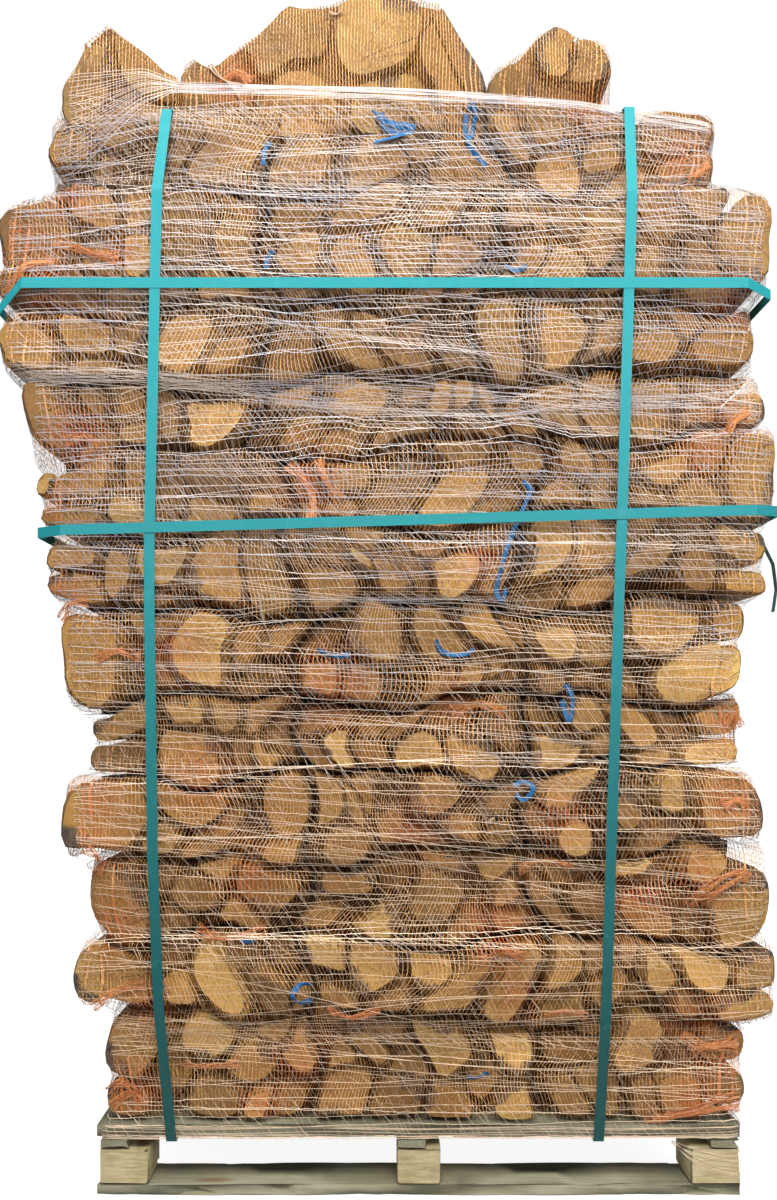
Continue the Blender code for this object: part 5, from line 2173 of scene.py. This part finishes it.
@dataclass(frozen=True)
class NetFolds:
    """Rope-like folds where the sacks' net is bunched, each a bundle of tapes along a line."""

    lines: tuple[tuple[tuple[float, float], ...], ...] = (
        ((688, 1042), (708, 1050), (728, 1046), (744, 1036)),
        ((694, 1056), (716, 1052), (742, 1052)),
        ((648, 1128), (676, 1118), (712, 1106), (742, 1100)),
        ((656, 1122), (700, 1114), (744, 1110)),
        ((690, 906), (712, 884), (736, 872), (750, 880)),
        ((700, 902), (726, 886), (748, 872)),
        ((722, 436), (736, 420), (750, 408)),
        ((286, 462), (300, 474), (312, 498), (310, 524)),
        ((318, 458), (326, 480), (340, 500)),
        ((62, 440), (84, 434), (100, 446)),
        ((88, 846), (100, 858), (96, 876)),
        ((92, 1006), (118, 990), (146, 984)),
        ((104, 1098), (120, 1086), (134, 1100)),
        ((108, 1112), (128, 1098), (140, 1112)),
        ((12, 296), (28, 270), (56, 262)),
        ((56, 240), (90, 256), (120, 262)),
        ((216, 70), (232, 60), (250, 70)),
        ((182, 1068), (206, 1070), (236, 1066)),
        ((712, 156), (702, 168), (690, 176)),
        ((452, 712), (480, 704), (506, 712)),
        ((196, 930), (230, 938), (266, 934)),
        ((545, 1018), (566, 1014), (588, 1018)),
        ((520, 870), (548, 862), (574, 868)),
        ((60, 620), (72, 606), (90, 604)),
        ((96, 660), (116, 652), (140, 656)),
        ((326, 1010), (352, 1016), (380, 1010)),
        ((480, 960), (500, 950), (524, 954)),
        ((726, 722), (738, 716), (744, 728)),
        ((722, 806), (736, 800), (748, 806)),
    )
    strands: int = 17
    places: int = 22
    spread: float = 0.0085
    proud: float = 0.0015
    bulge: float = 0.0065
    tape: float = 0.0008

    def build(self, palette: Palette, skin: Skin) -> None:
        """Make the folds: tapes strewn across each line, closest together at its middle."""
        rng = np.random.default_rng(21)
        folds = Ribbons()
        for line in self.lines:
            knots = np.array(line, dtype=float)
            share = np.linspace(0, len(knots) - 1, self.places)
            x, z = VIEW.x(smooth_line(knots[:, 0], share)), VIEW.z(smooth_line(knots[:, 1], share))
            run = np.stack([np.gradient(x), np.gradient(z)])
            run /= np.linalg.norm(run, axis=0)
            aside = rng.uniform(-1, 1, (self.strands, 1))
            flare = 0.45 + 0.75 * np.abs(share / share[-1] * 2 - 1) ** 2
            pace = rng.uniform(3, 7, (self.strands, 1))
            wave = 0.25 * np.sin(share * pace + rng.uniform(0, 6, (self.strands, 1)))
            offset = (aside * flare + wave) * self.spread
            px, pz = x - run[1] * offset, z + run[0] * offset
            out = self.proud + self.bulge * np.sqrt(np.clip(1 - aside**2, 0, 1)) * (1.2 - flare)
            y = skin.front(px, pz) - np.maximum(out, 0.001)
            middle = np.stack([px, y, pz], axis=-1)
            twist = rng.uniform(-0.6, 0.6, (self.strands, 1))
            across = np.stack(np.broadcast_arrays(-run[1], -twist, run[0]), axis=-1)
            pair = np.array([-0.5, 0.5])[:, None] * across[:, :, None] * self.tape
            folds.add(middle[:, :, None] + pair, True, rng.uniform(0.3, 1.0, (self.strands, 1)))
        folds.build("net_folds", palette.net, Slot.NET)


# Drawstrings


def smooth_line(knots: Array, share: Array) -> Array:
    """A Catmull-Rom curve through the knots, read at places counted in knots."""
    padded = np.concatenate([[2 * knots[0] - knots[1]], knots, [2 * knots[-1] - knots[-2]]])
    first = np.clip(share.astype(int), 0, len(knots) - 2)
    t = share - first
    a, b, c, d = (padded[first + step] for step in range(4))
    return 0.5 * (2 * b + (c - a) * t + (2 * a - 5 * b + 4 * c - d) * t**2 + (3 * b - a - 3 * c + d) * t**3)


@dataclass(frozen=True)
class FlatCords:
    """Flat cords at the mouths of the sacks, each along a smooth line in the front view."""

    name: str
    lines: tuple[tuple[tuple[float, float], ...], ...]
    width: float
    thick: float = 0.0012
    proud: float = 0.0035
    wander: float = 0.0015
    sides: int = 8

    def build(self, material: bpy.types.Material, slot: Slot, skin: Skin) -> None:
        """Make all of them as one piece: a flat oval carried along each line just over the net."""
        parts = MeshParts()
        for number, line in enumerate(self.lines):
            knots = np.array(line, dtype=float)
            share = np.linspace(0, len(knots) - 1, 10 * len(knots))
            x = VIEW.x(smooth_line(knots[:, 0], share))
            z = VIEW.z(smooth_line(knots[:, 1], share))
            y = skin.front(x, z) - self.proud + self.wander * np.sin(share * 2.2 + number)
            spine = np.stack([x, y, z], axis=-1)
            run = np.gradient(spine, axis=0)
            run /= np.linalg.norm(run, axis=1)[:, None]
            flat = np.cross(run, np.array([0.0, -1.0, 0.0]))
            flat /= np.maximum(np.linalg.norm(flat, axis=1), 1e-9)[:, None]
            twist = 0.7 * np.sin(share * 1.3 + number)[:, None]
            out = np.cross(flat, run)
            wide = flat * np.cos(twist) + out * np.sin(twist)
            tall = out * np.cos(twist) - flat * np.sin(twist)
            around = np.arange(self.sides)
            angle = around * (2 * np.pi / self.sides)
            ring = (
                spine[:, None]
                + wide[:, None] * (np.cos(angle) * self.width / 2)[None, :, None]
                + tall[:, None] * (np.sin(angle) * self.thick / 2)[None, :, None]
            )
            count = len(spine)
            points = np.concatenate([ring.reshape(-1, 3), spine[:1], spine[-1:]])
            total = count * self.sides
            start = fan_faces(total, around)[:, [0, 2, 1]]
            end = fan_faces(total + 1, total - self.sides + around)
            length = path_lengths(spine)
            lay = (length[:, None] + around[None, :] * 0.0005).ravel()
            lay = np.concatenate([lay, [0.0, length[-1]]])
            caps = np.concatenate([start, end])
            parts.add(points, [grid_faces(count, self.sides, wrap=True), caps], lay=lay)
        parts.build(self.name, material, slot)


DRAWSTRINGS = FlatCords(
    "drawstrings",
    (
        ((270, 136), (264, 144), (262, 160)),
        ((372, 106), (392, 116), (416, 124)),
        ((376, 112), (398, 122), (414, 127)),
        ((414, 126), (396, 134), (374, 138)),
        ((382, 108), (384, 124), (402, 131)),
        ((470, 102), (474, 96), (477, 106), (474, 122), (470, 136), (480, 150), (488, 158)),
        ((468, 104), (467, 122), (471, 136)),
        ((274, 252), (268, 260), (266, 270)),
        ((504, 268), (514, 274), (526, 270)),
        ((522, 482), (530, 490), (520, 516), (508, 546), (500, 572), (496, 592), (502, 602), (506, 590)),
        ((318, 650), (332, 656), (350, 655)),
        ((436, 640), (442, 652), (462, 655), (474, 650)),
        ((566, 684), (574, 700), (570, 722), (562, 700)),
        ((514, 786), (524, 782), (532, 788), (524, 800), (516, 794)),
        ((312, 986), (300, 986), (292, 996), (300, 1004), (312, 1002)),
        ((240, 940), (248, 943), (256, 941)),
        ((468, 1080), (478, 1082), (490, 1078)),
    ),
    0.0085,
)
WHITE_TIES = FlatCords(
    "white_ties",
    (
        ((205, 52), (214, 62), (226, 70), (236, 84), (238, 104)),
        ((208, 50), (220, 66), (238, 72)),
        ((224, 174), (218, 180), (217, 190), (221, 197)),
        ((260, 600), (264, 622), (270, 642), (262, 644)),
        ((482, 816), (488, 822), (494, 818)),
        ((280, 236), (286, 242), (292, 238)),
        ((328, 4), (336, 6), (342, 2)),
    ),
    0.0045,
)


# Pallet and straps


@dataclass(frozen=True)
class Board:
    """A sawn board or block: a rounded section carried along its length, with a waver and chips."""

    node: str
    slot: Slot
    edge: float = 0.0022
    step: float = 0.030
    waver: float = 0.0006
    chip: float = 0.004

    def build(self, material: bpy.types.Material, number: int) -> None:
        """Make the board inside its solid's box, in its place.

        Args:
            material: its finish.
            number: its number, which sets its grain and waver.
        """
        low, high = (np.array(corner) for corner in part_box(self.node))
        size = high - low
        along = int(np.argmax(size))
        wide, thick = [axis for axis in (0, 1, 2) if axis != along]
        rng = np.random.default_rng(40 + number)
        steps = max(10, int(size[along] / self.step))
        half_wide, half_thick = size[wide] / 2, size[thick] / 2
        corners = [(-1, -1), (1, -1), (1, 1), (-1, 1)]
        ring = []
        for cx, cy in corners:
            first = math.atan2(cy, cx) - math.pi / 4
            for turn in (0.0, math.pi / 4, math.pi / 2):
                ring.append((
                    cx * (half_wide - self.edge) + self.edge * math.cos(first + turn),
                    cy * (half_thick - self.edge) + self.edge * math.sin(first + turn),
                ))
        section = np.array(ring)
        count = len(section)
        share = np.linspace(0, 1, steps)
        place = low[along] + share * size[along]
        wave = np.sin(place[:, None] * rng.uniform(9, 17) + np.arange(count) * 1.7)
        shrink = self.waver + self.waver * (1 + wave)
        chip = rng.random((steps, count)) ** 14 * self.chip
        scale = 1 - (shrink + chip) / min(half_wide, half_thick) * 0.8
        scale[[0, -1]] -= 0.03
        points = np.zeros((steps, count, 3))
        middle = (low + high) / 2
        points[..., along] = place[:, None]
        points[..., wide] = middle[wide] + section[None, :, 0] * scale
        points[..., thick] = middle[thick] + section[None, :, 1] * scale
        ends = np.stack([points[0].mean(axis=0), points[-1].mean(axis=0)])
        around = np.arange(count)
        start = fan_faces(steps * count, around)[:, [0, 2, 1]]
        end = fan_faces(steps * count + 1, (steps - 1) * count + around)
        spots = np.concatenate([points.reshape(-1, 3), ends])
        local = spots - low
        grain = np.stack([local[:, along], local[:, wide], local[:, thick]], axis=-1)
        grain = grain + np.array([number * 1.37, number * 0.71, number * 0.33])
        sides = grid_faces(steps, count, wrap=True)
        caps = np.concatenate([start, end])
        order = (along, wide, thick)
        if order not in ((0, 1, 2), (1, 2, 0), (2, 0, 1)):
            sides, caps = sides[:, ::-1], caps[:, ::-1]
        parts = MeshParts()
        parts.add(spots, [sides, caps], (False, True), grain=grain)
        piece = parts.build(f"{self.node}_wood", material, self.slot)
        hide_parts(self.node)


@dataclass(frozen=True)
class Pallet:
    """Deck boards, stringers, blocks and bottom boards."""

    deck_boards: int = 7
    blocks: tuple[str, ...] = ("front", "centre", "back")
    across: tuple[str, ...] = ("left", "middle", "right")

    def build(self, palette: Palette) -> None:
        """Make every board in place of its solid."""
        boards = [Board(f"pallet_deck_board_{number + 1}", Slot.PINE) for number in range(self.deck_boards)]
        boards += [Board(f"pallet_stringer_{across}", Slot.PINE) for across in self.across]
        boards += [Board(f"pallet_bottom_board_{along}", Slot.PINE) for along in self.blocks]
        boards += [
            Board(f"pallet_block_{along}_{across}", Slot.BLOCK, 0.0030)
            for along in self.blocks for across in self.across
        ]
        for number, board in enumerate(boards):
            finish = palette.pine if board.slot is Slot.PINE else palette.block
            board.build(finish, number)


@dataclass(frozen=True)
class Straps:
    """The straps keep their solids and get their finish."""

    nodes: tuple[str, ...] = (
        "strap_upright_left", "strap_upright_right", "strap_level_upper", "strap_level_lower", "strap_tail",
    )

    def build(self, palette: Palette) -> None:
        """Give each strap its finish."""
        for name in self.nodes:
            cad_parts[name].material_slots[0].material = palette.strap
            LOG.info("%s: finish", name)


# Studio


@dataclass(frozen=True)
class Studio:
    """Pale floor, soft light and the camera."""

    camera_place: tuple[float, float, float] = (-0.065, -2.47, 0.741)
    lens: float = 36.2
    shift: tuple[float, float] = (0.0096, 0.099)
    sky: tuple[float, float] = (0.06, 0.75)

    def build(self, palette: Palette) -> None:
        """Make the floor, the lights and the camera."""
        depth = np.concatenate([[-14.0, 5.0], 5.0 + 4.0 * np.sin(np.linspace(0.1, np.pi / 2, 12)), [9.0]])
        height = np.concatenate([[0.0, 0.0], 4.0 * (1 - np.cos(np.linspace(0.1, np.pi / 2, 12))), [16.0]])
        side = np.array([-16.0, 16.0])
        points = np.stack(np.broadcast_arrays(side[:, None], depth[None], height[None]), axis=-1)
        mesh = bpy.data.meshes.new("floor_sweep")
        mesh.from_pydata(points.reshape(-1, 3), [], grid_faces(2, len(depth)))
        mesh.polygons.foreach_set("use_smooth", np.ones(len(depth) - 1, dtype=bool))
        mesh.materials.append(palette.floor)
        floor = bpy.data.objects.new("floor_sweep", mesh)
        bpy.context.scene.collection.objects.link(floor)
        floor.visible_diffuse = False
        self._light("key", (-0.1, -2.9, 3.1), (0, 0, 1.0), 1.6, 130.0)
        self._light("fill", (2.8, -3.2, 2.0), (0, 0, 0.9), 3.0, 52.0)
        self._light("top", (0.2, -0.4, 4.2), (0, 0, 1.0), 2.5, 68.0)
        self._sky()
        camera = bpy.data.cameras.new("camera")
        camera.lens = self.lens
        camera.shift_x, camera.shift_y = self.shift
        holder = bpy.data.objects.new("camera", camera)
        holder.location = self.camera_place
        holder.rotation_euler = (math.pi / 2, 0.0, 0.0)
        bpy.context.scene.collection.objects.link(holder)
        bpy.context.scene.camera = holder
        bpy.context.scene.view_settings.view_transform = "Standard"

    def _sky(self) -> None:
        """Light the surroundings: bright overhead, dim below the horizon."""
        world = bpy.context.scene.world or bpy.data.worlds.new("studio")
        bpy.context.scene.world = world
        world.use_nodes = True
        nodes, links = world.node_tree.nodes, world.node_tree.links
        up = nodes.new("ShaderNodeTexCoord")
        parts = nodes.new("ShaderNodeSeparateXYZ")
        span = nodes.new("ShaderNodeMapRange")
        for number, value in enumerate((-0.25, 0.70, *self.sky)):
            span.inputs[number + 1].default_value = value
        links.new(up.outputs["Generated"], parts.inputs[0])
        links.new(parts.outputs["Z"], span.inputs[0])
        links.new(span.outputs[0], nodes["Background"].inputs["Strength"])
        nodes["Background"].inputs["Color"].default_value = (1.0, 1.0, 1.0, 1.0)

    def _light(
        self, name: str, place: tuple[float, float, float], aim: tuple[float, float, float],
        size: float, power: float,
    ) -> None:
        """Add a soft square light that faces a point."""
        light = bpy.data.lights.new(name, "AREA")
        light.size = size
        light.energy = power
        holder = bpy.data.objects.new(name, light)
        holder.location = place
        away = np.array(place) - np.array(aim)
        flat = math.hypot(away[0], away[1])
        holder.rotation_euler = (math.atan2(flat, away[2]), 0.0, math.atan2(away[0], -away[1]))
        bpy.context.scene.collection.objects.link(holder)


def main() -> None:
    """Build the pieces in order."""
    logging.basicConfig(level=logging.INFO, format="%(name)s %(message)s")
    palette = Palette()
    Studio().build(palette)
    Pallet().build(palette)
    skin = SackStack().build(palette)
    WrapNetting(skin).build(palette)
    NetFolds().build(palette, skin)
    DRAWSTRINGS.build(palette.cord, Slot.DRAWSTRING, skin)
    WHITE_TIES.build(palette.thread, Slot.WRAP, skin)
    Straps().build(palette)


if __name__ == "__main__":
    main()
